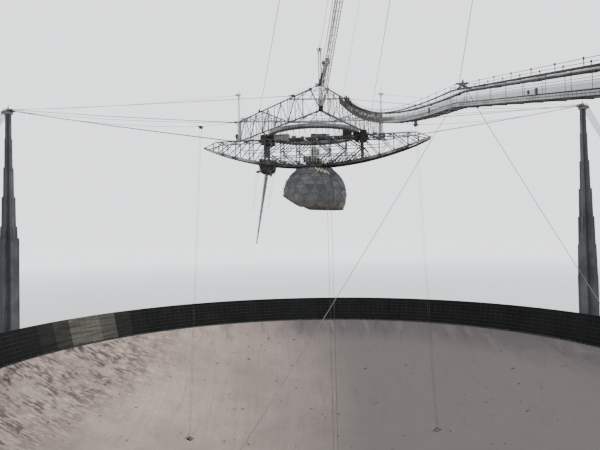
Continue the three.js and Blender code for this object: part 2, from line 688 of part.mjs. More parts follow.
function levelLattice(half, bays, thickness, z) {
  const width = ARM_PLANE - ARM_THICKNESS / 2 - GAP;
  const deck = truss({
    at: stations(-half, half, bays),
    low: () => -width,
    high: () => width,
    lowChord: ARM_BAR,
    highChord: ARM_BAR,
    bar: ARM_BAR,
    thickness,
  });
  return deck.translate(0, 0, z + thickness / 2);
}

// The trolley that grips the ring's flange, seated on the arm's top chords.
function trolley(side) {
  const foot = ARM_TOP + GAP;
  const base = 0.3 * M;
  const top = RING_TOP - 0.25 * M;
  const width = 5 * M;
  const innerX = RING.web - RING.flange / 2 - 0.9 * M;
  const outerX = RING.web + RING.flange / 2 + 1.3 * M;
  const length = outerX - innerX + 1.5 * M;
  const wheel = 0.42 * M;
  const wheelZ = RING_LOW + RING.flangeHeight + GAP + wheel;
  const tread = 0.35 * M;
  const innerFace = RING.web - 0.48 * M;
  const outerFace = RING.web + 0.32 * M;
  const parts = [
    box(length, 2 * ARM_PLANE + ARM_THICKNESS, base, [outerX + M - length / 2, 0, foot + base / 2]),
    box(M, width, top - foot, [innerX, 0, (top + foot) / 2]),
    box(2 * M, width, top - foot, [outerX, 0, (top + foot) / 2]),
  ];
  [-1.4, 1.4].forEach((metres) => {
    const spindle = (from, to, radius) => new THREE.CylinderGeometry(radius, radius, to - from, 12)
      .rotateZ(Math.PI / 2).translate((from + to) / 2, metres * M, wheelZ);
    parts.push(spindle(innerX, innerFace, wheel / 2.5), spindle(innerFace - tread, innerFace, wheel));
    parts.push(spindle(outerFace, outerX, wheel / 2.5), spindle(outerFace, outerFace + tread, wheel));
  });
  const whole = join(parts);
  return side > 0 ? whole : whole.rotateZ(Math.PI);
}

function seatedBox(x, y, z, from, foot) {
  return box(x, y, z, [from[0] + x / 2, from[1] + y / 2, foot + GAP + z / 2]);
}

// The machinery on the middle of the top deck: a drum round the centre and a low case beside it.
function machinery() {
  const foot = ARM_TOP + GAP;
  const height = 2 * M;
  const drum = new THREE.CylinderGeometry(1.2 * M, 1.6 * M, height, 12).rotateX(Math.PI / 2);
  const casing = box(4.4 * M, 2.6 * M, 1.6 * M, [3.2 * M, -0.4 * M, foot + 0.8 * M]);
  return join([drum.translate(0, 0, foot + height / 2), casing]);
}

function addArm() {
  const arm = new THREE.Group();
  arm.rotation.z = radians(ARM_YAW);
  telescope.add(arm);
  piece('arm_truss_near', armTruss(-1), STEEL, arm).position.y = -ARM_PLANE;
  piece('arm_truss_far', armTruss(1), STEEL, arm).position.y = ARM_PLANE;
  piece('arm_top_deck', levelLattice(ARM_SHOULDER, 14, TOP_DECK_THICKNESS, ARM_TOP - TOP_DECK_THICKNESS), STEEL, arm);
  piece('arm_mid_deck', levelLattice(MID_DECK.half, 6, MID_DECK.thickness, MID_DECK.z), STEEL, arm);
  piece('azimuth_trolley_left', trolley(-1), DARK_STEEL, arm);
  piece('azimuth_trolley_right', trolley(1), DARK_STEEL, arm);
  piece('arm_cabin', seatedBox(6.6 * M, 4 * M, 2.3 * M, [-16.9 * M, -3.9 * M], ARM_TOP), CABIN, arm);
  piece('arm_cabinet', seatedBox(3.8 * M, 2.4 * M, 2.2 * M, [13 * M, -3.9 * M], ARM_TOP), DARK_STEEL, arm);
  const cabFoot = MID_DECK.z + MID_DECK.thickness;
  piece('arm_machinery', machinery(), DARK_STEEL, arm);
  piece('arm_centre_cab', seatedBox(3.5 * M, 3.2 * M, 2.6 * M, [-1.3 * M, -1.6 * M], cabFoot), CABIN, arm);
  addDome(arm);
  addLineFeed(arm);
}

// A frame that turns about the centre of curvature, so that its pieces follow the rails.
function zenithFrame(arm, zenith) {
  const frame = new THREE.Group();
  frame.position.z = FOCUS_Z;
  frame.rotation.y = radians(zenith);
  arm.add(frame);
  return frame;
}

// A carriage between the two rails, from its top down to a seat, with four wheels on the treads.
function railCarriage(half, seat) {
  const low = -(seat - GAP);
  const height = -CARRIAGE.top - low;
  const middle = low + height / 2;
  const wheelX = half - 0.6 * M;
  const wheelRadius = RAIL.tread - CARRIAGE.wheel - ROLLING_GAP;
  const wheelZ = -Math.sqrt(wheelRadius ** 2 - wheelX ** 2);
  const wheelEnd = ARM_PLANE - ARM_THICKNESS / 2 - 0.12 * M;
  const parts = [];
  [-half, half].forEach((end) => {
    const x = end - Math.sign(end) * 0.25 * M;
    parts.push(box(0.5 * M, 2 * CARRIAGE.plane, height, [x, 0, middle]));
  });
  [-1, 1].forEach((side) => {
    const y = side * CARRIAGE.plane;
    const frame = truss({
      at: stations(-half, half, 2),
      low: () => low,
      high: () => -CARRIAGE.top,
      lowChord: 0.5 * M,
      highChord: 0.5 * M,
      bar: ARM_BAR,
      thickness: CARRIAGE.plate,
    });
    parts.push(upright(frame).translate(0, y, 0));
    [-wheelX, wheelX].forEach((x) => {
      const roller = (from, to, radius) => new THREE.CylinderGeometry(radius, radius, to - from, 12)
        .translate(x, side * (from + to) / 2, wheelZ);
      parts.push(roller(CARRIAGE.plane, wheelEnd, CARRIAGE.wheel / 2.5));
      parts.push(roller(wheelEnd - CARRIAGE.tread, wheelEnd, CARRIAGE.wheel));
    });
  });
  return join(parts);
}

function domeShell() {
  const ball = (radius) => new THREE.IcosahedronGeometry(radius, DOME.detail).translate(0, 0, -DOME.depth);
  const reach = 2 * DOME.radius;
  const below = (top) => box(2 * reach, 2 * reach, 2 * reach, [0, 0, top - reach]);
  const [left, corner, right] = [MOUTH.left, MOUTH.corner, MOUTH.right];
  const extend = (from, to, factor) => from.map((value, i) => value + (to[i] - value) * factor);
  const mouth = upright(plate([
    extend(corner, left, 2), corner, extend(corner, right, 2), [reach, corner[1] - reach], [-reach, corner[1] - reach],
  ], 2 * reach));
  const hollow = common(ball(DOME.radius - DOME.wall), below(-DOME.roof - DOME.wall));
  return cut(common(ball(DOME.radius), below(-DOME.roof)), [hollow, mouth]);
}

function addDome(arm) {
  const frame = zenithFrame(arm, 0);
  piece('dome_shell', domeShell(), DOME_PANEL, frame);
  piece('dome_carriage', railCarriage(DOME_CARRIAGE_HALF, DOME.roof), DARK_STEEL, frame);
}

function feedHouse() {
  const outline = [
    [-HOUSE.halfTop, -HOUSE.top], [-HOUSE.halfBottom, -HOUSE.bottom],
    [HOUSE.halfBottom, -HOUSE.bottom], [HOUSE.halfTop, -HOUSE.top],
  ];
  return upright(plate(outline, 2 * HOUSE.halfWidth));
}

// A tapering stack of discs on a slim core.
function lineFeed() {
  const pitch = (FEED.bottom - FEED.top) / FEED.discs;
  const neck = 0.4 * M;
  const core = 0.2 * M;
  const profile = [[0, -FEED.bottom]];
  for (let i = FEED.discs - 1; i >= 0; i -= 1) {
    const share = i / (FEED.discs - 1);
    const radius = FEED.topRadius + share * (FEED.tipRadius - FEED.topRadius);
    const low = FEED.top + (i + 1) * pitch;
    profile.push([radius, -low], [radius, -(low - pitch * 0.7)]);
    profile.push([core, -(low - pitch * 0.7)], [core, -(low - pitch)]);
  }
  profile.pop();
  profile.pop();
  profile.push([neck, -(FEED.top + pitch * 0.3)], [neck, -(HOUSE.bottom + GAP)], [0, -(HOUSE.bottom + GAP)]);
  return turned(profile, 8);
}

function addLineFeed(arm) {
  const frame = zenithFrame(arm, FEED_ZENITH);
  piece('feed_house', feedHouse(), CABIN, frame);
  piece('feed_carriage', railCarriage(FEED_CARRIAGE_HALF, HOUSE.top), DARK_STEEL, frame);
  piece('line_feed', lineFeed(), DARK_STEEL, frame);
}

function centreFooting() {
  const height = BOWL_FLOOR - BOWL_THICKNESS - GAP;
  const block = new THREE.CylinderGeometry(FOOTING.radius, FOOTING.radius, height, FOOTING.sides);
  return block.rotateX(Math.PI / 2).translate(0, 0, height / 2);
}

TOWERS.forEach(addTower);
addSideTrusses();
piece('azimuth_ring', azimuthRing(), STEEL, telescope);
piece('centre_footing', centreFooting(), CONCRETE, telescope);
addCatwalk();
addArm();

export default telescope;
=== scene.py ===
"""Looks for a 1:20 model of a radio telescope with a fixed bowl and a cable-hung platform."""

from math import asin, atan2, cos, degrees, hypot, pi, radians, sin, sqrt, tan

import bpy
from mathutils import Matrix, Vector


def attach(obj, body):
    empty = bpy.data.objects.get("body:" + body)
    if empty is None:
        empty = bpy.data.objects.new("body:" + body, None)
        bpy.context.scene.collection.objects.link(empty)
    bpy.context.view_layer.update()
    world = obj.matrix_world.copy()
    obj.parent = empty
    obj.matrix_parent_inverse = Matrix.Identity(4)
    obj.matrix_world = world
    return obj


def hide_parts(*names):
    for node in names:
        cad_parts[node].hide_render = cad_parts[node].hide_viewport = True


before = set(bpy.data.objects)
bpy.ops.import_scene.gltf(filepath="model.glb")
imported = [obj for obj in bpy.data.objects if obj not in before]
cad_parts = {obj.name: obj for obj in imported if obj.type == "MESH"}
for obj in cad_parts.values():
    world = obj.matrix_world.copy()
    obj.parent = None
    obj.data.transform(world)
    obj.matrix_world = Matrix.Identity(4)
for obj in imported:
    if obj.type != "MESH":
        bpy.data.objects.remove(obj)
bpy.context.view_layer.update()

# Sizes are in metres of the real telescope, and this is one of them in metres of the model
M = 0.05

# The gap under a seated piece, and from the middle of a cable's socket to what it sits on
SEAT_GAP = 0.006
SOCKET_REACH = 0.6 + SEAT_GAP
HANDRAIL = 1.1

# Bowl, rim and fence
BOWL_RADIUS = 265.2
FOCUS_Z = 268.2
RIM_RADIUS = 152.4
SHEET = 0.3
RIM_ANGLE = asin(RIM_RADIUS / BOWL_RADIUS)
RIM_Z = FOCUS_Z - BOWL_RADIUS * cos(RIM_ANGLE)
BEAM_INNER = RIM_RADIUS + SHEET * sin(RIM_ANGLE) + SEAT_GAP
BEAM_WIDTH = 2.6
BEAM_DEPTH = 1.9
BEAM_OUTER = BEAM_INNER + BEAM_WIDTH
BEAM_TOP = RIM_Z + 0.1
BEAM_LOW = BEAM_TOP - BEAM_DEPTH
BEAM_MIDDLE = (BEAM_INNER + BEAM_OUTER) / 2
FENCE_HEIGHT = 15.24
FENCE_LEAN = radians(18.5)
FENCE_FOOT = BEAM_OUTER - 0.7
FENCE_MIDDLE = 157
TIE_RADIUS = 71.4
TIE_HOLE = 3.4

# Towers and their cables, each in a frame whose +X runs outward
AZIMUTHS = {"left": 150, "right": 30, "near": -90}
TOWER_RADIUS = 213.4
SHAFT_TOP = 191.7
SHAFT_FIRST = 15.5
SHAFT_STEP = 18.3
SHAFT_WIDTHS = (3.6, 4.4, 5.8, 7.7, 9.4)
SLAB_Z = SHAFT_TOP + 2
SLAB_HALF = 2.45
STAY_PITCH = 0.68
CORNER_RADIUS = 39
SIDE_LENGTH = CORNER_RADIUS * sqrt(3)
HEAD_SOCKET = TOWER_RADIUS - SLAB_HALF - SOCKET_REACH
CORNER_SOCKET = CORNER_RADIUS + 1 / cos(pi / 6) + SOCKET_REACH
ANCHOR_SOCKET = 339 - 6.5 - SOCKET_REACH
ANCHOR_LEVEL = 102.4
TIE_SPREAD = 0.635
TIE_FOOT = 72

# Platform, ring and arm
PLATFORM_LOW = 156.45
PLATFORM_HIGH = 166.25
MAST_TOP = PLATFORM_HIGH + 12.4
CHORD = 0.7
CABLE_LOW = PLATFORM_LOW + CHORD / 2
CABLE_HIGH = PLATFORM_HIGH - CHORD / 2
MAIN_SAG = 0.6
RING_RADIUS = 19.3
RING_LOW = PLATFORM_LOW - 2.046
ARM_YAW = radians(-12.3)
ARM_HALF = 49.2
ARM_STATIONS = (0, 7.03, 14.06, 21.09, 28.11, 34.3, 40.2, 44.6, 49.2)
ARM_TOP = 153.9
ARM_TIP_TOP = 151.9
ARM_SHOULDER = 43.05
ARM_PLANE = 3.7
RAIL_RADIUS = 127
GIRDER_DEPTH = 0.95
CARRIAGE_TOP = 124.3
MID_DECK = 146.4

# Dome, line feed and catwalk
DOME_RADIUS = 13.9
DOME_DEPTH = 139.2
DOME_ROOF = FOCUS_Z - 127.9
DOME_MOUTH = ((-14.1, 138.7), (-4.8, 144.6), (13, 145.6))
WALK_X = 9.4
WALK_HALF = 1
WALK_LANDING = (-20, 165.3)
WALK_KINK = (-155, 128.2)
WALK_END = (-204.6, 117)
WALK_SAG = 5
WALK_SIDE_TOP = 2.4
WALK_TOP_END = -26
# Where the catwalk turns dark going up: grime and painted shade.
WALK_GRIME_AND_SHADE = -108


def make_camera():
    """The viewpoint that the photograph was taken from, beside the near tower."""
    yaw, pitch, roll = (radians(angle) for angle in (2.273, 1.445, 1.081))
    level = Vector((cos(yaw), -sin(yaw), 0))
    ahead = Vector((sin(yaw) * cos(pitch), cos(yaw) * cos(pitch), sin(pitch)))
    upward = level.cross(ahead)
    right = level * cos(roll) - upward * sin(roll)
    up = level * sin(roll) + upward * cos(roll)
    camera = bpy.data.objects.new("camera", bpy.data.cameras.new("camera"))
    camera.data.lens = 31.19
    camera.data.sensor_width = 36
    camera.data.sensor_fit = "HORIZONTAL"
    camera.data.clip_end = 2000
    place = Matrix((right, up, -ahead)).transposed().to_4x4()
    place.translation = Vector((-15.64, -225.32, 110.6)) * M
    camera.matrix_world = place
    bpy.context.scene.collection.objects.link(camera)
    bpy.context.scene.camera = camera


make_camera()


# Meshes are gathered from simple forms, and each gathered mesh becomes one piece

SQUARE = ((-1, -1), (1, -1), (1, 1), (-1, 1))


class Gathered:
    """Corners and faces of one piece, with a tone for each face that its finish may read."""

    def __init__(self):
        self.corners = []
        self.faces = []
        self.tones = []

    def add(self, corners, faces, tone=0.5):
        start = len(self.corners)
        self.corners += [tuple(corner) for corner in corners]
        self.faces += [tuple(start + index for index in face) for face in faces]
        self.tones += [tone] * len(faces)

    def prism(self, outlines, tone=0.5):
        """Closed outlines of equal length, one after another, joined by walls and capped."""
        size = len(outlines[0])
        corners = [corner for outline in outlines for corner in outline]
        faces = []
        for ring in range(len(outlines) - 1):
            for i in range(size):
                j = (i + 1) % size
                faces.append((ring * size + i, ring * size + j, (ring + 1) * size + j, (ring + 1) * size + i))
        faces.append(tuple(reversed(range(size))))
        faces.append(tuple(range(len(corners) - size, len(corners))))
        self.add(corners, faces, tone)

    def bar(self, start, end, width, depth=None, up=(0, 0, 1)):
        """A straight bar of rectangular section."""
        across, over = cross_axes(Vector(end) - Vector(start), Vector(up))
        across, over = across * width / 2, over * (depth or width) / 2
        section = [across + over, over - across, -across - over, across - over]
        self.prism([[Vector(spot) + offset for offset in section] for spot in (start, end)])

    def upright(self, x, y, low, high, width):
        self.bar((x, y, low), (x, y, high), width)

    def lengthwise(self, start, end, y, z, width, depth=None):
        self.bar((start, y, z), (end, y, z), width, depth)

    def crosswise(self, x, half, z, width):
        self.bar((x, -half, z), (x, half, z), width)

    def angle(self, start, end, leg):
        """A rolled angle bar, with two thin legs."""
        across, over = cross_axes(Vector(end) - Vector(start), Vector((0, 0, 1)))
        thin = 0.18 * leg
        profile = [(0, 0), (leg, 0), (leg, thin), (thin, thin), (thin, leg), (0, leg)]
        section = [across * (x - leg / 2) + over * (y - leg / 2) for x, y in profile]
        self.prism([[Vector(spot) + offset for offset in section] for spot in (start, end)])

    def rod(self, path, radius, sides=6):
        """A round rod or cable through a list of points."""
        spots = [Vector(spot) for spot in path]
        outlines = []
        for i, spot in enumerate(spots):
            along = spots[min(i + 1, len(spots) - 1)] - spots[max(i - 1, 0)]
            outlines.append(round_outline(spot, along, radius, sides))
        self.prism(outlines)

    def taper(self, start, end, first, last, sides=10, tone=0.5):
        """A round bar whose radius changes from one end to the other."""
        along = Vector(end) - Vector(start)
        self.prism([round_outline(Vector(spot), along, radius, sides)
                    for spot, radius in ((start, first), (end, last))], tone)

    def block(self, centre, size, turn=0.0):
        """A box turned about the vertical."""
        spin = Matrix.Rotation(turn, 3, "Z")
        x, y, z = (value / 2 for value in size)
        foot = [Vector((x * across, y * over, -z)) for across, over in SQUARE]
        lift = Vector((0, 0, 2 * z))
        self.prism([[Vector(centre) + spin @ (corner + rise) for corner in foot] for rise in (Vector(), lift)])

    def strip(self, rows, tone=0.5):
        """A thin surface through rows of points."""
        width = len(rows[0])
        faces = []
        for i in range(len(rows) - 1):
            for j in range(width - 1):
                low = i * width + j
                faces.append((low, low + 1, low + width + 1, low + width))
        self.add([spot for row in rows for spot in row], faces, tone)

    def turned(self, profile, turns):
        """A closed profile of radius and height turned about the vertical axis."""
        outlines = []
        for step in range(turns + 1):
            angle = 2 * pi * step / turns
            outlines.append([Vector((r * cos(angle), r * sin(angle), z)) for r, z in profile + profile[:1]])
        self.strip(outlines)

    def join(self, other):
        self.add(other.corners, other.faces)
        self.tones[-len(other.tones):] = other.tones

    def moved(self, matrix):
        self.corners = [tuple(matrix @ Vector(corner)) for corner in self.corners]
        return self


def cross_axes(along, up):
    along = along.normalized()
    across = along.cross(up)
    if across.length < 1e-3:
        across = along.cross(Vector((1, 0, 0)))
    across.normalize()
    return across, across.cross(along)


def round_outline(spot, along, radius, sides):
    """Points in a circle round a spot, square to a direction."""
    across, over = cross_axes(along, Vector((0, 0, 1)))
    turns = [2 * pi * k / sides for k in range(sides)]
    return [spot + (across * cos(t) + over * sin(t)) * radius for t in turns]


def piece(name, gathered, finish, body, replaces=(), smooth=False):
    """Turns a gathered mesh into a piece of the object, at the model's scale, that rides on a body."""
    mesh = bpy.data.meshes.new(name)
    mesh.from_pydata([[side * M for side in corner] for corner in gathered.corners], [], gathered.faces)
    tone = mesh.attributes.new("tone", "FLOAT", "FACE")
    tone.data.foreach_set("value", gathered.tones)
    mesh.polygons.foreach_set("use_smooth", [smooth] * len(mesh.polygons))
    mesh.materials.append(finish)
    mesh.update()
    made = bpy.data.objects.new(name, mesh)
    bpy.context.scene.collection.objects.link(made)
    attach(made, body)
    if replaces:
        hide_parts(*replaces)


def polar(radius, heading, z):
    turn = radians(heading)
    return Vector((radius * cos(turn), radius * sin(turn), z))


def outward(name):
    """From a tower's own frame, whose +X runs outward, to the model's."""
    return Matrix.Rotation(radians(AZIMUTHS[name]), 4, "Z")


def part_way(start, end, share):
    return start + (end - start) * share


def even(start, end, count):
    return [start + (end - start) * i / count for i in range(count + 1)]


def pairs(items, closed=False):
    """Each item with the one after it, and the last with the first where CLOSED."""
    return list(zip(items, items[1:] + items[:1] if closed else items[1:]))


def rectangle(left, low, width, height):
    return [(left, low), (left + width, low), (left + width, low + height), (left, low + height)]


def spread(order, step=0.618034):
    """A share from 0 to 1 that jumps about from one ORDER to the next."""
    return order * step % 1


def scatter(order, step):
    """An even-looking share from 0 to 1 for the ORDER-th of many small things."""
    return sin(order * 12.9898 + step * 78.233) * 43758.5453 % 1


def hanging(start, end, sag, steps=16):
    """Points on a shallow curve that hangs between two ends."""
    start, end = Vector(start), Vector(end)
    control = (start + end) / 2 - Vector((0, 0, 2 * sag))
    return [start * (1 - t) ** 2 + control * 2 * t * (1 - t) + end * t * t for t in even(0, 1, steps)]


def bowl_height(radius, shell=BOWL_RADIUS):
    return FOCUS_Z - sqrt(shell * shell - radius * radius)


# Shader nodes: a small wrapper, then the effects that several finishes share

class Graph:
    """A node tree that is written as a formula."""

    def __init__(self, tree):
        self.tree = tree

    def node(self, kind, **settings):
        made = self.tree.nodes.new("ShaderNode" + kind)
        for key, value in settings.items():
            setattr(made, key, value)
        return made

    def feed(self, socket, value):
        if isinstance(value, bpy.types.NodeSocket):
            self.tree.links.new(value, socket)
        else:
            socket.default_value = value

    def maths(self, operation, first, second=0.0, clamp=False):
        made = self.node("Math", operation=operation, use_clamp=clamp)
        self.feed(made.inputs[0], first)
        self.feed(made.inputs[1], second)
        return made.outputs[0]

    def times(self, first, second):
        return self.maths("MULTIPLY", first, second)

    def noise(self, vector, scale, detail=3.0, roughness=0.55):
        made = self.node("TexNoise")
        self.feed(made.inputs["Vector"], vector)
        self.feed(made.inputs["Scale"], scale)
        self.feed(made.inputs["Detail"], detail)
        self.feed(made.inputs["Roughness"], roughness)
        return made.outputs["Fac"]

    def between(self, value, low, high, start=0.0, end=1.0):
        made = self.node("MapRange")
        for name, setting in (("Value", value), ("From Min", low), ("From Max", high),
                              ("To Min", start), ("To Max", end)):
            self.feed(made.inputs[name], setting)
        return made.outputs["Result"]

    def mix(self, share, first, second):
        made = self.node("Mix", data_type="RGBA")
        self.feed(made.inputs[0], share)
        self.feed(made.inputs[6], first)
        self.feed(made.inputs[7], second)
        return made.outputs[2]

    def split(self, vector):
        made = self.node("SeparateXYZ")
        self.feed(made.inputs[0], vector)
        return made.outputs

    def together(self, x, y, z):
        made = self.node("CombineXYZ")
        for socket, value in zip(made.inputs, (x, y, z)):
            self.feed(socket, value)
        return made.outputs[0]

    def place(self):
        return self.node("TexCoord").outputs["Object"]

    def tone(self):
        return self.node("Attribute", attribute_name="tone").outputs["Fac"]

    def along_rim(self, place):
        """1 on faces that look along the rim, and 0 on those that look towards the bowl or away from it."""
        x, y, _ = self.split(place)
        inward = self.node("VectorMath", operation="NORMALIZE")
        self.feed(inward.inputs[0], self.together(x, y, 0.0))
        facing = self.node("VectorMath", operation="DOT_PRODUCT")
        self.feed(facing.inputs[0], inward.outputs[0])
        self.feed(facing.inputs[1], self.node("TexCoord").outputs["Normal"])
        return self.between(self.maths("ABSOLUTE", facing.outputs["Value"]), 0.75, 0.25)

    def looks_down(self):
        """1 on faces that look down, and 0 elsewhere."""
        return self.between(self.split(self.node("TexCoord").outputs["Normal"])[2], -0.3, -0.8)

    def use(self, group, **values):
        made = self.node("Group", node_tree=group)
        for key, value in values.items():
            self.feed(made.inputs[key.replace("_", " ").capitalize()], value)
        return made.outputs[0]


def shared_effect(name, inputs, output, build):
    """A shader node group with named inputs, one named output, and a body built by a function."""
    tree = bpy.data.node_groups.new(name, "ShaderNodeTree")
    for label, default in inputs.items():
        kind = "NodeSocketVector" if default is None else "NodeSocketFloat"
        socket = tree.interface.new_socket(name=label, in_out="INPUT", socket_type=kind)
        if default is not None:
            socket.default_value = default
    tree.interface.new_socket(name=output, in_out="OUTPUT", socket_type="NodeSocketFloat")
    graph = Graph(tree)
    sockets = tree.nodes.new("NodeGroupInput").outputs
    result = build(graph, sockets)
    graph.feed(tree.nodes.new("NodeGroupOutput").inputs[0], result)
    return tree


def build_streaks(graph, given):
    x, y, z = graph.split(given["Position"])
    across = [graph.times(side, given["Across"]) for side in (x, y)]
    down = graph.times(z, given["Down"])
    marks = graph.noise(graph.together(*across, down), 1.0, 4.0)
    return graph.between(marks, given["Low"], given["High"])


def build_blotches(graph, given):
    return graph.between(graph.noise(given["Position"], given["Scale"], 5.0, 0.6), given["Low"], given["High"])


def build_lines(graph, given):
    share = graph.maths("FRACT", graph.maths("DIVIDE", given["Coordinate"], given["Pitch"]))
    return graph.maths("LESS_THAN", share, graph.maths("DIVIDE", given["Width"], given["Pitch"]))


def build_cells(graph, given):
    x, y, _ = graph.split(given["Position"])
    cells = [graph.maths("FLOOR", graph.maths("DIVIDE", side, given[pitch]))
             for side, pitch in ((x, "Length"), (y, "Width"))]
    made = graph.node("TexWhiteNoise", noise_dimensions="3D")
    graph.feed(made.inputs["Vector"], graph.together(*cells, 0.0))
    return made.outputs["Value"]


STREAKS = shared_effect(
    "Rain Streaks", {"Position": None, "Across": 20.0, "Down": 1.0, "Low": 0.5, "High": 0.7}, "Mask", build_streaks)
BLOTCHES = shared_effect(
    "Blotches", {"Position": None, "Scale": 2.0, "Low": 0.45, "High": 0.65}, "Mask", build_blotches)
LINES = shared_effect("Regular Lines", {"Coordinate": 0.0, "Pitch": 0.1, "Width": 0.01}, "Mask", build_lines)
CELLS = shared_effect("Sheet Tones", {"Position": None, "Length": 0.1, "Width": 0.05}, "Tone", build_cells)


class Finish(Graph):
    """A material with one Principled shader."""

    def __init__(self, name, roughness=0.7, metallic=0.0):
        self.material = bpy.data.materials.new(name)
        self.material.use_nodes = True
        super().__init__(self.material.node_tree)
        self.shader = self.tree.nodes["Principled BSDF"]
        self.shader.inputs["Metallic"].default_value = metallic
        self.shader.inputs["Roughness"].default_value = roughness
        self.shader.inputs["Specular IOR Level"].default_value = 0.25

    def set(self, **values):
        for key, value in values.items():
            self.feed(self.shader.inputs[key.replace("_", " ").title()], value)
        return self

    def blotches(self, place, scale, low, high):
        return self.use(BLOTCHES, position=place, scale=scale, low=low, high=high)

    def streaks(self, place, across, down, low, high):
        return self.use(STREAKS, position=place, across=across, down=down, low=low, high=high)

    def lines(self, coordinate, pitch, width):
        return self.use(LINES, coordinate=coordinate, pitch=pitch, width=width)

    def cells(self, place, length, width):
        return self.use(CELLS, position=place, length=length, width=width)

    def tinted(self, colour, mask, share, tint):
        """A colour with a share of a tint where the mask is."""
        return self.mix(self.times(mask, share), colour, tint)

    def bump(self, height, distance, strength=0.6):
        made = self.node("Bump")
        made.inputs["Strength"].default_value = strength
        made.inputs["Distance"].default_value = distance
        self.feed(made.inputs["Height"], height)
        self.feed(self.shader.inputs["Normal"], made.outputs[0])
        return self


def shade(red, green, blue):
    """A colour from its 0 to 255 screen values."""
    linear = [((value / 255 + 0.055) / 1.055) ** 2.4 for value in (red, green, blue)]
    return (*linear, 1.0)


def concrete(name, light, dark, stain_and_shade):
    """Cast concrete with a joint at each pour, board marks, dark runs below the joints, and painted shade on faces
    that look along the rim.
    """
    finish = Finish(name, 0.9)
    place = finish.place()
    height = finish.split(place)[2]
    runs = finish.streaks(place, 9.0, 0.5, 0.48, 0.76)
    clouds = finish.blotches(place, 1.1, 0.38, 0.64)
    joints = finish.lines(height, 1.83 * M, 0.12 * M)
    boards = finish.lines(height, 0.3 * M, 0.03 * M)
    grain = finish.noise(place, 40.0, 5.0, 0.65)
    # Painted shade: faces that look along the rim take the stain colour.
    shaded = finish.times(finish.along_rim(place), 0.75)
    colour = finish.mix(clouds, light, dark)
    colour = finish.mix(shaded, colour, stain_and_shade)
    colour = finish.tinted(colour, runs, 0.5, stain_and_shade)
    colour = finish.tinted(colour, joints, 0.4, stain_and_shade)
    colour = finish.mix(finish.between(grain, 0.35, 0.7, 0.0, 0.3), colour, dark)
    relief = finish.maths("SUBTRACT", grain, finish.times(joints, 0.9))
    relief = finish.maths("SUBTRACT", relief, finish.times(boards, 0.25))
    finish.set(base_color=colour, roughness=finish.between(runs, 0.0, 1.0, 0.92, 0.7))
    return finish.bump(relief, 0.004).material


def painted_steel(name, light, dark, rust_share, under=0.0):
    """Weathered paint on steel, with rust that starts in blotches and runs down, and painted shade underneath where
    UNDER is set.
    """
    finish = Finish(name, 0.55, 0.35)
    place = finish.place()
    worn = finish.blotches(place, 2.4, 0.42, 0.66)
    spots = finish.blotches(place, 16.0, 0.6, 0.68)
    runs = finish.streaks(place, 14.0, 1.6, 0.56, 0.72)
    grain = finish.noise(place, 90.0, 3.0, 0.6)
    colour = finish.mix(worn, light, dark)
    rusty = finish.times(finish.maths("MAXIMUM", spots, runs), rust_share)
    colour = finish.mix(rusty, colour, RUST)
    # Painted shade on faces that look down.
    if under:
        colour = finish.tinted(colour, finish.looks_down(), under, shade(44, 43, 42))
    finish.set(base_color=colour, roughness=finish.between(rusty, 0.0, 1.0, 0.55, 0.92))
    return finish.bump(finish.maths("ADD", grain, rusty), 0.0015).material


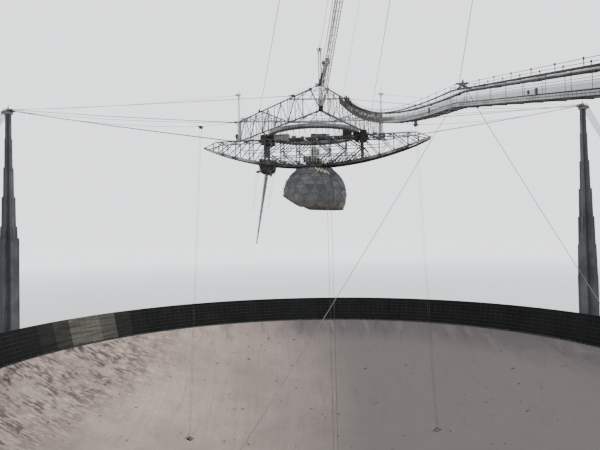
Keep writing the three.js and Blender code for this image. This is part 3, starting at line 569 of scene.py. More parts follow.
def reflector_sheets():
    """Perforated sheets in rows, dulled and stained down the slope, with painted shade to the east and a painted
    shadow under the rim.
    """
    finish = Finish("reflector sheets", 0.62, 0.25)
    place = finish.place()
    x, y, z = finish.split(place)
    tones = finish.cells(place, 0.99 * M, 1.98 * M)
    strips = finish.cells(place, 0.99 * M, 30 * M)
    bays = finish.cells(place, 11.88 * M, 5.94 * M)
    clouds = finish.blotches(place, 0.5, 0.36, 0.68)
    stretched = finish.together(finish.times(x, 3.2), finish.times(y, 0.8), z)
    stains = finish.blotches(stretched, 1.1, 0.54, 0.7)
    slope = finish.together(finish.times(x, 0.45), y, finish.times(z, 0.3))
    mottle = finish.blotches(slope, 11.0, 0.4, 0.56)
    cream = finish.blotches(slope, 9.0, 0.56, 0.64)
    patchy = finish.blotches(place, 1.7, 0.4, 0.54)
    mottle = finish.times(mottle, finish.between(patchy, 0.0, 1.0, 0.25, 1.0))
    spots = finish.between(finish.noise(place, 7.0, 1.0, 0.5), 0.745, 0.765)
    rows = finish.lines(y, 1.98 * M, 0.08 * M)
    columns = finish.lines(x, 0.99 * M, 0.18 * M)
    gaps = finish.maths("MAXIMUM", finish.times(rows, 0.6), columns)
    upper = finish.between(z, (RIM_Z - 16) * M, (RIM_Z - 2) * M)
    shadow = finish.times(finish.between(z, (RIM_Z - 12) * M, (RIM_Z - 5) * M), finish.between(x, -25 * M, -5 * M))
    shadow = finish.times(shadow, finish.blotches(stretched, 0.8, 0.34, 0.5))
    west = finish.times(finish.between(x, -70 * M, -110 * M),
                        finish.between(z, bowl_height(100) * M, bowl_height(125) * M))
    colour = finish.mix(clouds, shade(198, 179, 167), shade(170, 152, 141))
    colour = finish.mix(finish.between(tones, 0.0, 1.0, 0.0, 0.3), colour, shade(150, 134, 125))
    colour = finish.mix(finish.between(strips, 0.0, 1.0, 0.0, 0.28), colour, shade(146, 129, 120))
    colour = finish.mix(finish.between(bays, 0.0, 1.0, 0.0, 0.16), colour, shade(220, 203, 189))
    colour = finish.tinted(colour, finish.times(west, cream), 0.8, shade(226, 206, 172))
    # Darker towards the east: painted shade, partly dirt.
    dull = finish.between(finish.maths("ADD", x, finish.times(clouds, 12 * M)), -75 * M, 35 * M)
    colour = finish.tinted(colour, dull, 0.93, shade(106, 101, 99))
    colour = finish.tinted(colour, shadow, 0.6, shade(84, 80, 84))
    dirty = finish.times(stains, finish.maths("ADD", finish.times(upper, 0.3), 0.12))
    dirty = finish.maths("ADD", dirty, finish.times(finish.times(west, mottle), 0.85), clamp=True)
    colour = finish.mix(dirty, colour, shade(80, 70, 70))
    colour = finish.tinted(colour, spots, 0.85, shade(48, 44, 42))
    colour = finish.tinted(colour, gaps, 0.38, shade(104, 91, 84))
    relief = finish.maths("SUBTRACT", finish.times(tones, 0.4), gaps)
    finish.set(base_color=colour, roughness=finish.between(dirty, 0.0, 1.0, 0.58, 0.9))
    return finish.bump(relief, 0.003, 0.5).material


def wire_mesh(name, light, dark, pitch, wire, cover, round_bowl=True):
    """Woven wire whose holes let the light through, paler and closed where its tone is high: dirt on the walkway,
    painted sunlight on the fence.
    """
    finish = Finish(name, 0.6, 0.4)
    place = finish.place()
    x, y, z = finish.split(place)
    along = finish.times(finish.maths("ARCTAN2", y, x), FENCE_MIDDLE * M) if round_bowl else y
    upright = finish.lines(along, pitch, wire)
    level = finish.lines(z, pitch, wire)
    wires = finish.maths("MAXIMUM", upright, level)
    tone = finish.tone()
    level_dirt = finish.noise(finish.together(finish.times(along, 1.2), finish.times(z, 14.0), 0.0), 1.0, 4.0, 0.6)
    dirt = finish.between(level_dirt, 0.4, 0.68)
    colour = finish.mix(tone, dark, light)
    colour = finish.tinted(colour, dirt, 0.6, dark)
    solid = finish.maths("ADD", cover, finish.times(wires, 1 - cover))
    solid = finish.maths("ADD", solid, finish.between(tone, 0.0, 0.8, 0.0, 0.75), clamp=True)
    finish.set(base_color=colour, alpha=solid)
    return finish.bump(wires, 0.002).material


def wire_rope(name, light, dark):
    """Laid wire rope, seen as slanting strands, with weathered paint."""
    finish = Finish(name, 0.55, 0.5)
    place = finish.place()
    x, y, z = finish.split(place)
    lay = finish.maths("ADD", finish.maths("ADD", x, y), finish.times(z, 1.7))
    strands = finish.lines(lay, 0.24 * M, 0.09 * M)
    worn = finish.blotches(place, 5.0, 0.4, 0.65)
    colour = finish.mix(worn, light, dark)
    colour = finish.tinted(colour, strands, 0.45, dark)
    finish.set(base_color=colour)
    return finish.bump(strands, 0.001).material


def dome_sheets():
    """Matt triangular sheets in slightly different greys, grimy below and rusty at the lower edge."""
    finish = Finish("dome sheets", 0.6, 0.3)
    place = finish.place()
    height = finish.split(place)[2]
    tone = finish.tone()
    clouds = finish.blotches(place, 1.5, 0.4, 0.64)
    tints = finish.between(finish.noise(place, 1.1, 2.0, 0.5), 0.42, 0.6)
    runs = finish.streaks(place, 11.0, 1.1, 0.48, 0.7)
    low = finish.between(height, 129.5 * M, 124.5 * M)
    grain = finish.noise(place, 60.0, 3.0)
    colour = finish.mix(tone, shade(74, 76, 80), shade(114, 115, 115))
    colour = finish.tinted(colour, tints, 0.4, shade(86, 97, 95))
    colour = finish.tinted(colour, clouds, 0.4, shade(86, 79, 90))
    colour = finish.tinted(colour, runs, 0.35, shade(70, 68, 66))
    warm = finish.times(low, finish.between(finish.noise(place, 3.0, 4.0), 0.3, 0.58))
    colour = finish.tinted(colour, warm, 0.45, shade(128, 114, 98))
    rust = finish.times(low, finish.blotches(place, 5.0, 0.6, 0.68))
    colour = finish.tinted(colour, rust, 0.5, shade(104, 80, 62))
    finish.set(base_color=colour, roughness=finish.between(runs, 0.0, 1.0, 0.55, 0.85))
    return finish.bump(grain, 0.0015).material


def arm_steel(name, light, dark):
    """The arm's paint: grey above, with two given tones on the bowed girder, which darkens to the middle, partly rust
    and partly painted shade.
    """
    finish = Finish(name, 0.6, 0.3)
    place = finish.place()
    x, y, z = finish.split(place)
    along = finish.maths("ADD", finish.times(x, cos(ARM_YAW)), finish.times(y, sin(ARM_YAW)))
    below = finish.maths("SUBTRACT", FOCUS_Z * M, z)
    reach = finish.maths("SQRT", finish.maths("ADD", finish.times(along, along), finish.times(below, below)))
    edge = RAIL_RADIUS - GIRDER_DEPTH
    girder = finish.between(reach, (edge - 0.1) * M, (edge + 0.1) * M)
    worn = finish.blotches(place, 2.4, 0.42, 0.66)
    rusty = finish.blotches(place, 12.0, 0.58, 0.66)
    runs = finish.streaks(place, 14.0, 1.6, 0.54, 0.72)
    patches = finish.blotches(place, 5.5, 0.45, 0.55)
    upper = finish.mix(worn, shade(88, 90, 92), shade(54, 55, 56))
    lower = finish.mix(patches, light, dark)
    # The girder darkens towards the middle of the arm: partly rust, partly painted shade.
    middle = finish.between(finish.maths("ABSOLUTE", along), 30 * M, 22 * M)
    lower = finish.tinted(lower, middle, 0.75, shade(50, 48, 46))
    colour = finish.mix(girder, upper, lower)
    colour = finish.tinted(colour, finish.maths("MAXIMUM", rusty, runs), 0.25, RUST)
    finish.set(base_color=colour, roughness=finish.between(rusty, 0.0, 1.0, 0.55, 0.9))
    return finish.bump(finish.noise(place, 90.0, 3.0), 0.0015).material


def walkway_deck(name, light, dark):
    """Weathered planks, with dark edges and gaps, darker at the upper end with grime and painted shade, and painted
    shade on faces that look down.
    """
    finish = Finish(name, 0.8, 0.1)
    place = finish.place()
    y = finish.split(place)[1]
    planks = finish.lines(y, 0.6 * M, 0.1 * M)
    worn = finish.blotches(place, 6.0, 0.4, 0.62)
    colour = finish.mix(worn, light, dark)
    # Darker towards the upper end: grime and painted shade.
    grime = finish.between(y, (WALK_GRIME_AND_SHADE - 6) * M, (WALK_GRIME_AND_SHADE + 4) * M, 0.0, 0.8)
    colour = finish.mix(grime, colour, shade(48, 44, 42))
    colour = finish.tinted(colour, planks, 0.5, shade(70, 67, 64))
    # Painted shade on faces that look down.
    colour = finish.tinted(colour, finish.looks_down(), 0.8, shade(74, 70, 67))
    finish.set(base_color=colour)
    return finish.bump(planks, 0.003).material


def cabin_paint(name, light, dark):
    """Ribbed cladding with grime below each sheet joint."""
    finish = Finish(name, 0.6, 0.15)
    place = finish.place()
    x, y, z = finish.split(place)
    ribs = finish.lines(finish.maths("ADD", x, y), 0.4 * M, 0.08 * M)
    joints = finish.lines(z, 1.1 * M, 0.05 * M)
    runs = finish.streaks(place, 18.0, 1.5, 0.5, 0.72)
    colour = finish.mix(finish.blotches(place, 4.0, 0.4, 0.7), light, dark)
    colour = finish.tinted(colour, runs, 0.5, shade(96, 86, 76))
    colour = finish.tinted(colour, joints, 0.6, shade(70, 68, 66))
    finish.set(base_color=colour)
    return finish.bump(finish.maths("SUBTRACT", ribs, joints), 0.004).material


def dark_glass():
    """Panes of the cabs, dusty and dark."""
    finish = Finish("dark panes", 0.2)
    place = finish.place()
    dust = finish.blotches(place, 9.0, 0.4, 0.8)
    colour = finish.mix(dust, shade(22, 25, 28), shade(52, 54, 55))
    return finish.set(base_color=colour, roughness=finish.between(dust, 0.0, 1.0, 0.12, 0.5)).material


RUST = shade(116, 78, 54)
# This concrete is dark and cool partly from weathering and partly as painted shade of towers that stand in shade.
CONCRETE = concrete("weathered concrete", shade(104, 105, 107), shade(72, 74, 78), shade(44, 46, 50))
PALE_CONCRETE = concrete("pale concrete", shade(164, 163, 158), shade(128, 127, 122), shade(76, 76, 76))
SHEETS = reflector_sheets()
# The fence mesh is near-black and almost closed: partly its own dark colour, partly painted shade, as the fence stands
# in shadow.
FENCE_MESH = wire_mesh("fence mesh", shade(116, 115, 105), shade(12, 14, 14),
                       pitch=0.6 * M, wire=0.14 * M, cover=0.993)
WALK_MESH = wire_mesh("walkway mesh", shade(176, 180, 188), shade(44, 50, 62),
                      pitch=0.1 * M, wire=0.004 * M, cover=0.05, round_bowl=False)
# The catwalk's dark mesh: grime and painted shade.
GRIMY_SHADED_MESH = wire_mesh("grimy walkway mesh", shade(214, 212, 206), shade(34, 30, 28),
                       pitch=0.3 * M, wire=0.06 * M, cover=0.93, round_bowl=False)
STEEL = painted_steel("pale painted steel", shade(196, 196, 194), shade(152, 152, 150), 0.15)
GREY_STEEL = painted_steel("grey painted steel", shade(140, 142, 142), shade(98, 99, 99), 0.15)
CHORD_STEEL = painted_steel("dull painted steel", shade(104, 106, 108), shade(70, 71, 72), 0.15)
# The ring's underside is painted darker, as painted shade.
RING_STEEL = painted_steel("ring paint", shade(158, 160, 162), shade(108, 109, 110), 0.12, under=0.85)
DARK_STEEL = painted_steel("dark painted steel", shade(70, 70, 70), shade(40, 40, 40), 0.3)
# Two copies of the arm paint: the near plane's girder is paler, partly as painted sunlight; the far plane's is darker,
# as painted shade.
ARM_STEEL = arm_steel("arm paint", shade(164, 164, 162), shade(80, 80, 80))
SHADED_ARM_STEEL = arm_steel("far arm paint", shade(70, 66, 64), shade(42, 40, 39))
ROPE = wire_rope("wire rope", shade(108, 108, 108), shade(52, 51, 50))
PALE_ROPE = wire_rope("pale wire rope", shade(226, 223, 220), shade(178, 174, 171))
THIN_ROPE = wire_rope("thin wire rope", shade(150, 152, 154), shade(104, 105, 106))
PLANKS = walkway_deck("walkway planks", shade(196, 197, 196), shade(156, 156, 154))
OLD_BOARDS = walkway_deck("old deck boards", shade(128, 118, 108), shade(86, 79, 73))
FEED_METAL = painted_steel("feed metal", shade(158, 159, 154), shade(92, 93, 91), 0.2)
DOME_SHEETS = dome_sheets()
DULL_CABIN = cabin_paint("cabin cladding", shade(150, 152, 150), shade(112, 113, 110))
# A paler copy of the cabin cladding for the centre cab, as painted sunlight.
LIT_CABIN = cabin_paint("pale cladding", shade(206, 206, 200), shade(168, 168, 160))
GREY_CABIN = cabin_paint("dark cladding", shade(38, 39, 39), shade(20, 21, 21))
CREAM_PAINT = painted_steel("cream paint", shade(216, 208, 172), shade(176, 166, 132), 0.15)
PANES = dark_glass()


def dress(finish, *names):
    """Gives CAD nodes a finish."""
    for name in names:
        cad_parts[name].material_slots[0].material = finish


def dress_nodes():
    for name in AZIMUTHS:
        dress(CONCRETE, f"tower_{name}", f"anchor_{name}")
        dress(PALE_CONCRETE, f"tower_head_{name}")
    dress(CONCRETE, "centre_footing", "catwalk_abutment")
    dress(RING_STEEL, "azimuth_ring")
    dress(DARK_STEEL, "azimuth_trolley_left", "azimuth_trolley_right", "arm_cabinet", "arm_machinery")
    dress(DARK_STEEL, "dome_carriage", "feed_carriage")
    dress(PLANKS, "catwalk_deck")
    dress(LIT_CABIN, "arm_centre_cab")
    dress(GREY_CABIN, "feed_house")


# Bowl: the sheets, the cables that they lie on, the rim and the fence

def reflector_third(azimuth):
    """Two smooth skins with a square hole for the ties."""
    hole = degrees(TIE_HOLE / 2 / TIE_RADIUS)
    turns = sorted([3.0 * step for step in range(-20, 21) if step] + [-hole, hole])
    tilts = sorted(even(0, RIM_ANGLE, 26) + [asin((TIE_RADIUS + side * TIE_HOLE / 2) / BOWL_RADIUS)
                                             for side in (-1, 1)])
    sheets = Gathered()
    skins = []
    for shell in (BOWL_RADIUS, BOWL_RADIUS + SHEET):
        skins.append([[polar(shell * sin(tilt), azimuth + turn, FOCUS_Z - shell * cos(tilt))
                       for turn in turns] for tilt in tilts])
    inner, outer = skins
    hole_ring = tilts.index(asin((TIE_RADIUS - TIE_HOLE / 2) / BOWL_RADIUS))
    hole_turn = turns.index(-hole)
    for i in range(len(tilts) - 1):
        for j in range(len(turns) - 1):
            corners = [(i, j), (i, j + 1), (i + 1, j + 1), (i + 1, j)]
            if i == hole_ring and j == hole_turn:
                for (a, b), (c, d) in pairs(corners, closed=True):
                    sheets.add([inner[a][b], inner[c][d], outer[c][d], outer[a][b]], [(0, 1, 2, 3)])
                continue
            sheets.add([inner[a][b] for a, b in corners], [(3, 2, 1, 0)])
            sheets.add([outer[a][b] for a, b in corners], [(0, 1, 2, 3)])
    for j in range(len(turns) - 1):
        sheets.add([inner[-1][j], inner[-1][j + 1], outer[-1][j + 1], outer[-1][j]], [(0, 1, 2, 3)])
    return sheets


def cable_net():
    """Cables under the sheets in two directions, with short ties to blocks at the lowest level."""
    net = Gathered()
    pitch = 7.6
    reach = int(RIM_RADIUS * 0.99 / pitch)
    shell = BOWL_RADIUS + SHEET + 0.12
    for i in range(-reach, reach + 1):
        offset = i * pitch
        half = sqrt((RIM_RADIUS * 0.995) ** 2 - offset ** 2)
        line = [(offset, along) for along in even(-half, half, 24)]
        for swapped in (False, True):
            spots = [(b, a) if swapped else (a, b) for a, b in line]
            net.rod([(x, y, bowl_height(hypot(x, y), shell)) for x, y in spots], 0.1, 4)
    for i in range(-reach, reach + 1, 2):
        for j in range(-reach, reach + 1, 2):
            x, y = i * pitch, j * pitch
            distance = hypot(x, y)
            if 10 < distance < RIM_RADIUS * 0.97:
                top = bowl_height(distance, shell)
                net.rod([(x, y, 0.3), (x, y, top)], 0.07, 4)
                net.block((x, y, 0.25), (1.4, 1.4, 0.5))
    return net


# How high the level ties between the columns are, as shares of the columns, and how far apart the columns stand
TIE_LEVELS = (0.36, 0.7)
COLUMN_PITCH = 10


def rim_frame_third(azimuth):
    """The ring beam with its brackets, and the columns with feet, heads and cross ties."""
    rim = Gathered()
    turns = even(-60, 60, 40)
    section = [(BEAM_INNER, BEAM_LOW), (BEAM_OUTER, BEAM_LOW), (BEAM_OUTER, BEAM_LOW + 0.35),
               (BEAM_OUTER - 0.25, BEAM_LOW + 0.5), (BEAM_OUTER - 0.25, BEAM_TOP - 0.5),
               (BEAM_OUTER, BEAM_TOP - 0.35), (BEAM_OUTER, BEAM_TOP), (BEAM_INNER, BEAM_TOP)]
    rim.prism([[polar(r, azimuth + turn, z) for r, z in section] for turn in turns])
    for turn in even(-59.5, 59.5, 119):
        spot = polar(BEAM_INNER + 0.4, azimuth + turn, BEAM_TOP + 0.25)
        rim.block(spot, (0.9, 0.3, 0.5), radians(azimuth + turn))
    width = 1.1
    for turn in even(-55, 55, 11):
        spin = radians(azimuth + turn)
        rim.block(polar(BEAM_MIDDLE, azimuth + turn, BEAM_LOW / 2 + 0.05), (width, width, BEAM_LOW), spin)
        rim.block(polar(BEAM_MIDDLE, azimuth + turn, 0.4), (1.7 * width, 1.7 * width, 0.8), spin)
        rim.block(polar(BEAM_MIDDLE, azimuth + turn, BEAM_LOW - 0.35), (1.7 * width, 1.5 * width, 0.7), spin)
        for level in TIE_LEVELS:
            rim.block(polar(BEAM_MIDDLE, azimuth + turn, BEAM_LOW * level), (1.2 * width, 1.2 * width, 0.5), spin)
    return rim


def rim_ties():
    """Level struts and slanting rods between the columns."""
    ties = Gathered()
    for start in range(-35, 325, COLUMN_PITCH):
        for level in TIE_LEVELS:
            ends = [polar(BEAM_MIDDLE, turn, BEAM_LOW * level) for turn in (start, start + COLUMN_PITCH)]
            ties.bar(*ends, 0.45)
        for foot, top in pairs([0.02, *TIE_LEVELS, 0.98]):
            for levels in ((foot, top), (top, foot)):
                ends = [polar(BEAM_MIDDLE, start + COLUMN_PITCH * end, BEAM_LOW * levels[end]) for end in (0, 1)]
                ties.rod(ends, 0.1, 5)
    return ties


def fence_spot(heading, share, set_back=0.0):
    """A point on the leaning fence, from its foot at 0 to its top at 1."""
    rise = share * FENCE_HEIGHT
    return polar(FENCE_FOOT + rise * tan(FENCE_LEAN) + set_back, heading, BEAM_TOP + SEAT_GAP + rise)


FENCE_BAYS = 32
FENCE_BAY = 120 / FENCE_BAYS
# How much painted sunlight a bay gets, up to each azimuth
SUNLIT_BAYS = {138: 0.14, 142: 0.7, 150: 1.0, 153: 0.3, 157: 0.12, 161: 0.05}


def fence_third(azimuth, first):
    """Mesh sheets, a bay between each two posts, each with its own tone: a few in the north-west are paler, as painted
    sunlight.
    """
    mesh = Gathered()
    for i in range(FENCE_BAYS):
        middle = (azimuth - 60 + (i + 0.5) * FENCE_BAY) % 360
        chance = spread(first + i)
        pale = next((share for limit, share in SUNLIT_BAYS.items() if middle < limit), 0.0) if middle > 135 else 0.0
        tone = 0.85 * pale + 0.04 * chance
        turns = even(azimuth - 60 + i * FENCE_BAY, azimuth - 60 + (i + 1) * FENCE_BAY, 3)
        mesh.strip([[fence_spot(turn, share, 0.05) for turn in turns] for share in (0.015, 0.5, 0.985)], tone)
    return mesh


def fence_posts(azimuth):
    """Posts, finer uprights, level rails, the struts behind the posts and the lumps along the fence's foot."""
    posts = Gathered()
    for i in range(FENCE_BAYS):
        turn = azimuth - 60 + i * FENCE_BAY
        posts.angle(fence_spot(turn, 0, 0.2), fence_spot(turn, 1, 0.06), 0.24)
        posts.rod([fence_spot(turn, 0.5, 0.2), polar(BEAM_OUTER - 0.1, turn, BEAM_TOP)], 0.08, 5)
        for part in (1, 2):
            finer = turn + part * FENCE_BAY / 3
            posts.bar(fence_spot(finer, 0, 0.12), fence_spot(finer, 1, 0.06), 0.1)
    for step in range(160):
        turn = azimuth - 60 + 0.75 * step
        height = 0.5 + 0.8 * scatter(step, 1)
        foot = fence_spot(turn, 0, -0.3) + Vector((0, 0, height / 2 - 0.1))
        posts.block(foot, (0.5, 0.7, height), radians(turn))
    for share in even(0.01, 0.99, 7):
        turns = even(azimuth - 60, azimuth + 60, 64)
        posts.rod([fence_spot(turn, share, 0.02) for turn in turns], 0.07, 4)
    return posts


def add_bowl():
    body = "fixed_structure"
    for order, (name, azimuth) in enumerate(AZIMUTHS.items()):
        piece(f"reflector_sheets_{name}", reflector_third(azimuth), SHEETS, body,
              [f"reflector_{name}"], smooth=True)
        piece(f"rim_columns_{name}", rim_frame_third(azimuth), CONCRETE, body, [f"rim_frame_{name}"])
        piece(f"fence_sheets_{name}", fence_third(azimuth, order * FENCE_BAYS), FENCE_MESH, body,
              [f"ground_screen_{name}"])
        piece(f"fence_posts_{name}", fence_posts(azimuth), DARK_STEEL, body)
    piece("cable_net", cable_net(), ROPE, body)
    piece("rim_ties", rim_ties(), GREY_STEEL, body)


# Towers: ladders, landings, head railings, and the round cables

def tower_fittings(name):
    """A caged ladder up the outer face, with a landing at each step of the shaft, and rails round the head."""
    fittings = Gathered()
    for level, width in enumerate(SHAFT_WIDTHS):
        top = SHAFT_TOP if level == 0 else SHAFT_TOP - SHAFT_FIRST - (level - 1) * SHAFT_STEP
        face = TOWER_RADIUS - width / 2 - 0.25
        foot = SHAFT_TOP - SHAFT_FIRST - level * SHAFT_STEP
        for side in (-1, 1):
            fittings.upright(face, side * 0.3, foot, top, 0.1)
            for post in (-1, 1):
                x, y = post * (width / 2 - 0.15), side * (width / 2 - 0.15) * 0.4
                fittings.upright(TOWER_RADIUS + x, y, top, top + HANDRAIL, 0.08)
        for rung in even(foot, top, 30):
            fittings.crosswise(face, 0.3, rung, 0.06)
        for hoop in even(foot + 1, top - 1, 6):
            fittings.block((face + 0.15, 0, hoop), (0.5, 0.9, 0.12))
    rail = SLAB_HALF - 0.2
    top = SLAB_Z + 0.5
    corners = [(TOWER_RADIUS + x * rail, y * rail) for x, y in SQUARE]
    for (x0, y0), (x1, y1) in pairs(corners, closed=True):
        for height in (HANDRAIL / 2, HANDRAIL):
            fittings.bar((x0, y0, top + height), (x1, y1, top + height), 0.08)
        for share in even(0, 1, 3):
            fittings.upright(part_way(x0, x1, share), part_way(y0, y1, share), top, top + HANDRAIL, 0.08)
    return fittings.moved(outward(name))


def main_cables(name):
    """Four round cables that close in on the corner's foot, one to each side of the platform, and their dark seats."""
    cables, seats = Gathered(), Gathered()
    for offset in (-0.95, -0.32, 0.32, 0.95):
        path = hanging((HEAD_SOCKET, offset, SLAB_Z), (CORNER_SOCKET, offset, CABLE_LOW), MAIN_SAG, 24)
        path[-1].y *= 0.45
        cables.rod(path, 0.15, 8)
        add_sockets(seats, path)
    for side, share, sag in ((-1, 8 / 12, 3), (1, 9 / 12, 0.5)):
        path = hanging((HEAD_SOCKET, side * 1.95, SLAB_Z), (*side_seat(side, share), CABLE_HIGH), sag)
        cables.rod(path, 0.1, 8)
        add_sockets(seats, path)
        seats.block(path[-1], (0.9, 0.9, 0.8))
    seats.block((HEAD_SOCKET, 0, SLAB_Z), (1.2, 4.6, 0.7))
    seats.block((CORNER_SOCKET, 0, CABLE_LOW), (1.2, 1.3, 0.7))
    for order in range(6):
        chance, other, third = (scatter(order, step) for step in (1, 2, 3))
        seats.block((CORNER_SOCKET - 0.5 - 0.3 * chance, 0.4 * (other - 0.5), CABLE_LOW + 0.6 * order),
                    (1.2, 1.0 + 0.16 * order, 0.25 + 0.3 * third))
    return cables.moved(outward(name)), seats.moved(outward(name))


def add_sockets(cables, path):
    """Long stepped sockets at both ends of a cable."""
    for end, after in ((path[0], path[1]), (path[-1], path[-2])):
        along = (after - end).normalized()
        for start, stop, radius in ((0, 1.6, 0.3), (1.6, 2.3, 0.22)):
            cables.rod([end + along * start, end + along * stop], radius, 8)


def side_seat(side, share):
    """Where a side cable ends, just outside its side of the platform."""
    along = SIDE_LENGTH * share
    reach = 0.25 + SEAT_GAP + 0.6 * (0.5 + cos(pi / 6))
    return (CORNER_RADIUS - along * cos(pi / 6) + 0.5 * reach, side * (along / 2 + cos(pi / 6) * reach))


def cable_clamps(name):
    """Spreaders that hold the four main cables apart, with thin lacing between them, all closing in at the foot."""
    clamps = Gathered()
    start = Vector((HEAD_SOCKET, 0, SLAB_Z))
    end = Vector((CORNER_SOCKET, 0, CABLE_LOW))
    slope = atan2(start.z - end.z, start.x - end.x)
    path = hanging(start, end, MAIN_SAG, 100)
    halves = [0.95 - 0.52 * max(0, order - 96) / 4 for order in range(101)]
    for spot, half in list(zip(path, halves))[2:-1:2]:
        spreader = Gathered()
        spreader.block((0, 0, 0), (0.12, 2 * half + 0.1, 0.16))
        clamps.join(spreader.moved(Matrix.Translation(spot) @ Matrix.Rotation(-slope, 4, "Y")))
    for order in range(100):
        side = 1 if order % 2 else -1
        clamps.rod([path[order] + Vector((0, side * halves[order], 0)),
                    path[order + 1] - Vector((0, side * halves[order + 1], 0))], 0.05, 4)
    return clamps.moved(outward(name))


def upper_cables(name):
    """Cables to the corner's top and mast, and the ties that run down from their yoke to a pier."""
    cables = Gathered()
    head, corner = (HEAD_SOCKET, 0, SLAB_Z + 0.8 + SEAT_GAP), (CORNER_SOCKET, 0, CABLE_HIGH)
    yoke = Vector((61.7, 0, 166.3))
    mast = (CORNER_RADIUS + 1.06, 0, MAST_TOP)
    for side in (-1, 1):
        beside = Vector((0, side * 0.4, 0))
        cables.rod(hanging(Vector(head) + beside, Vector(corner) + beside, MAIN_SAG), 0.09, 8)
        cables.rod([yoke + Vector((0, side * TIE_SPREAD, 0)), (TIE_FOOT, side * TIE_SPREAD, 1.5)], 0.05, 6)
    cables.rod(hanging(head, mast, 1.5), 0.06, 6)
    cables.rod(hanging(head, yoke, 3), 0.09, 8)
    cables.rod(hanging(yoke, corner, 0.1, 2), 0.09, 8)
    for spot, size in ((head, (1.2, 1.2, 0.48)), (corner, (1.2, 1.2, 0.8)), (mast, (0.6, 0.6, 0.6)),
                       (yoke, (1.6, 2.4, 0.5))):
        cables.block(spot, size)
    for side in (-1, 1):
        cables.block(yoke + Vector((0, side * TIE_SPREAD, -0.6)), (0.9, 0.5, 0.9))
    cables.prism([[(TIE_FOOT + x * half, y * half, z) for x, y in SQUARE]
                  for half, z in ((1.5, 0), (1.5, 2), (1.1, 3))])
    return cables.moved(outward(name))


def backstay_cables(name):
    """Seven round cables from the head down to the anchor."""
    cables = Gathered()
    head = TOWER_RADIUS + SLAB_HALF + SOCKET_REACH
    for i in range(7):
        y = (i - 3) * STAY_PITCH
        path = hanging((head, y, SLAB_Z), (ANCHOR_SOCKET, y, ANCHOR_LEVEL), 2)
        cables.rod(path, 0.15, 8)
        add_sockets(cables, path)
    cables.block((head, 0, SLAB_Z), (1.2, 7 * STAY_PITCH, 0.7))
    cables.block((ANCHOR_SOCKET, 0, ANCHOR_LEVEL), (1.2, 7 * STAY_PITCH, 1.5))
    return cables.moved(outward(name))


def add_towers():
    body = "fixed_structure"
    for name in AZIMUTHS:
        piece(f"tower_fittings_{name}", tower_fittings(name), GREY_STEEL, body)
        rope = PALE_ROPE if name == "near" else ROPE
        cables, seats = main_cables(name)
        piece(f"main_cables_{name}", cables, rope, body, [f"suspension_cables_{name}"])
        piece(f"cable_seats_{name}", seats, DARK_STEEL, body)
        piece(f"cable_clamps_{name}", cable_clamps(name), rope, body)
        piece(f"upper_cables_{name}", upper_cables(name), ROPE, body, [f"tie_down_{name}"])
        piece(f"backstay_cables_{name}", backstay_cables(name), THIN_ROPE, body, [f"backstays_{name}"])


# Platform: its three sides with gangways and rails, its ring, corners and masts

# Each side's azimuth, and which of its ends stops short at the near corner
SIDES = {"near_left": (210, 1), "near_right": (330, -1), "far": (90, 0)}
SIDE_HALF = SIDE_LENGTH / 2 - 1
SIDE_BAYS = 12
CHORD_BAR = 0.5
BAR_LOW = PLATFORM_LOW + CHORD_BAR / 2
BAR_HIGH = PLATFORM_HIGH - CHORD_BAR / 2
GANGWAY = PLATFORM_LOW + CHORD_BAR


def side_frame(azimuth):
    """Along a side is +X, outward is -Y, on the side's own plane."""
    return Matrix.Translation(polar(CORNER_RADIUS / 2, azimuth, 0)) @ Matrix.Rotation(radians(azimuth + 90), 4, "Z")


def laces(target, posts, y, low, high, width, crossed=True):
    """Slanting bars in each bay between two levels, one way or both ways."""
    for order, (left, right) in enumerate(pairs(posts)):
        ways = ((low, high), (high, low))
        for start, end in ways if crossed else ways[order % 2:order % 2 + 1]:
            target.bar((left, y, start), (right, y, end), width)


def upper_ends(short):
    """Where a side's upper chord starts and ends: it stops a bay short of the near corner."""
    bay = 2 * SIDE_HALF / SIDE_BAYS
    return -SIDE_HALF + (bay if short < 0 else 0), SIDE_HALF - (bay if short > 0 else 0)


def upper_places(short):
    """The posts under the upper chord. On one side, the closing strut takes the place of the last post."""
    places = even(-SIDE_HALF, SIDE_HALF, SIDE_BAYS)
    return {-1: places[1:], 0: places, 1: places[:-2]}[short]


def side_chords(azimuth, short):
    """A side's two chords with joint plates, and the strut that closes the short end."""
    chords = Gathered()
    depth = CHORD_BAR if short else 0.3
    start, end = upper_ends(short)
    for left, right, z, places in ((-SIDE_HALF, SIDE_HALF, BAR_LOW, even(-SIDE_HALF, SIDE_HALF, SIDE_BAYS)),
                                   (start, end, BAR_HIGH, upper_places(short))):
        chords.lengthwise(left, right, 0, z, 0.3, depth)
        for x in places:
            chords.block((x, 0, z), (0.8, 0.46, depth))
    if short:
        stop = end if short > 0 else start
        chords.bar((stop, 0, PLATFORM_HIGH - CHORD_BAR), (short * (SIDE_HALF + 0.4), 0, PLATFORM_LOW + 1.4), 0.36)
        chords.block((stop, 0, PLATFORM_HIGH - 0.3), (1.1, 0.9, 0.9))
    return chords.moved(side_frame(azimuth))


def side_lattice(azimuth, short):
    """Posts and slanting laces between a side's chords, with finer posts in the middle of each bay."""
    lattice = Gathered()
    posts = upper_places(short)
    low, high = GANGWAY, PLATFORM_HIGH - CHORD_BAR
    for x in posts:
        lattice.upright(x, 0, low, high, 0.24)
    for y, way in ((-0.12, 1), (0.12, -1)):
        laces(lattice, posts[::way], y, low, high, 0.15, crossed=short == 0)
    for left, right in pairs(posts):
        lattice.upright((left + right) / 2, 0, low, high, 0.1)
    return lattice.moved(side_frame(azimuth))


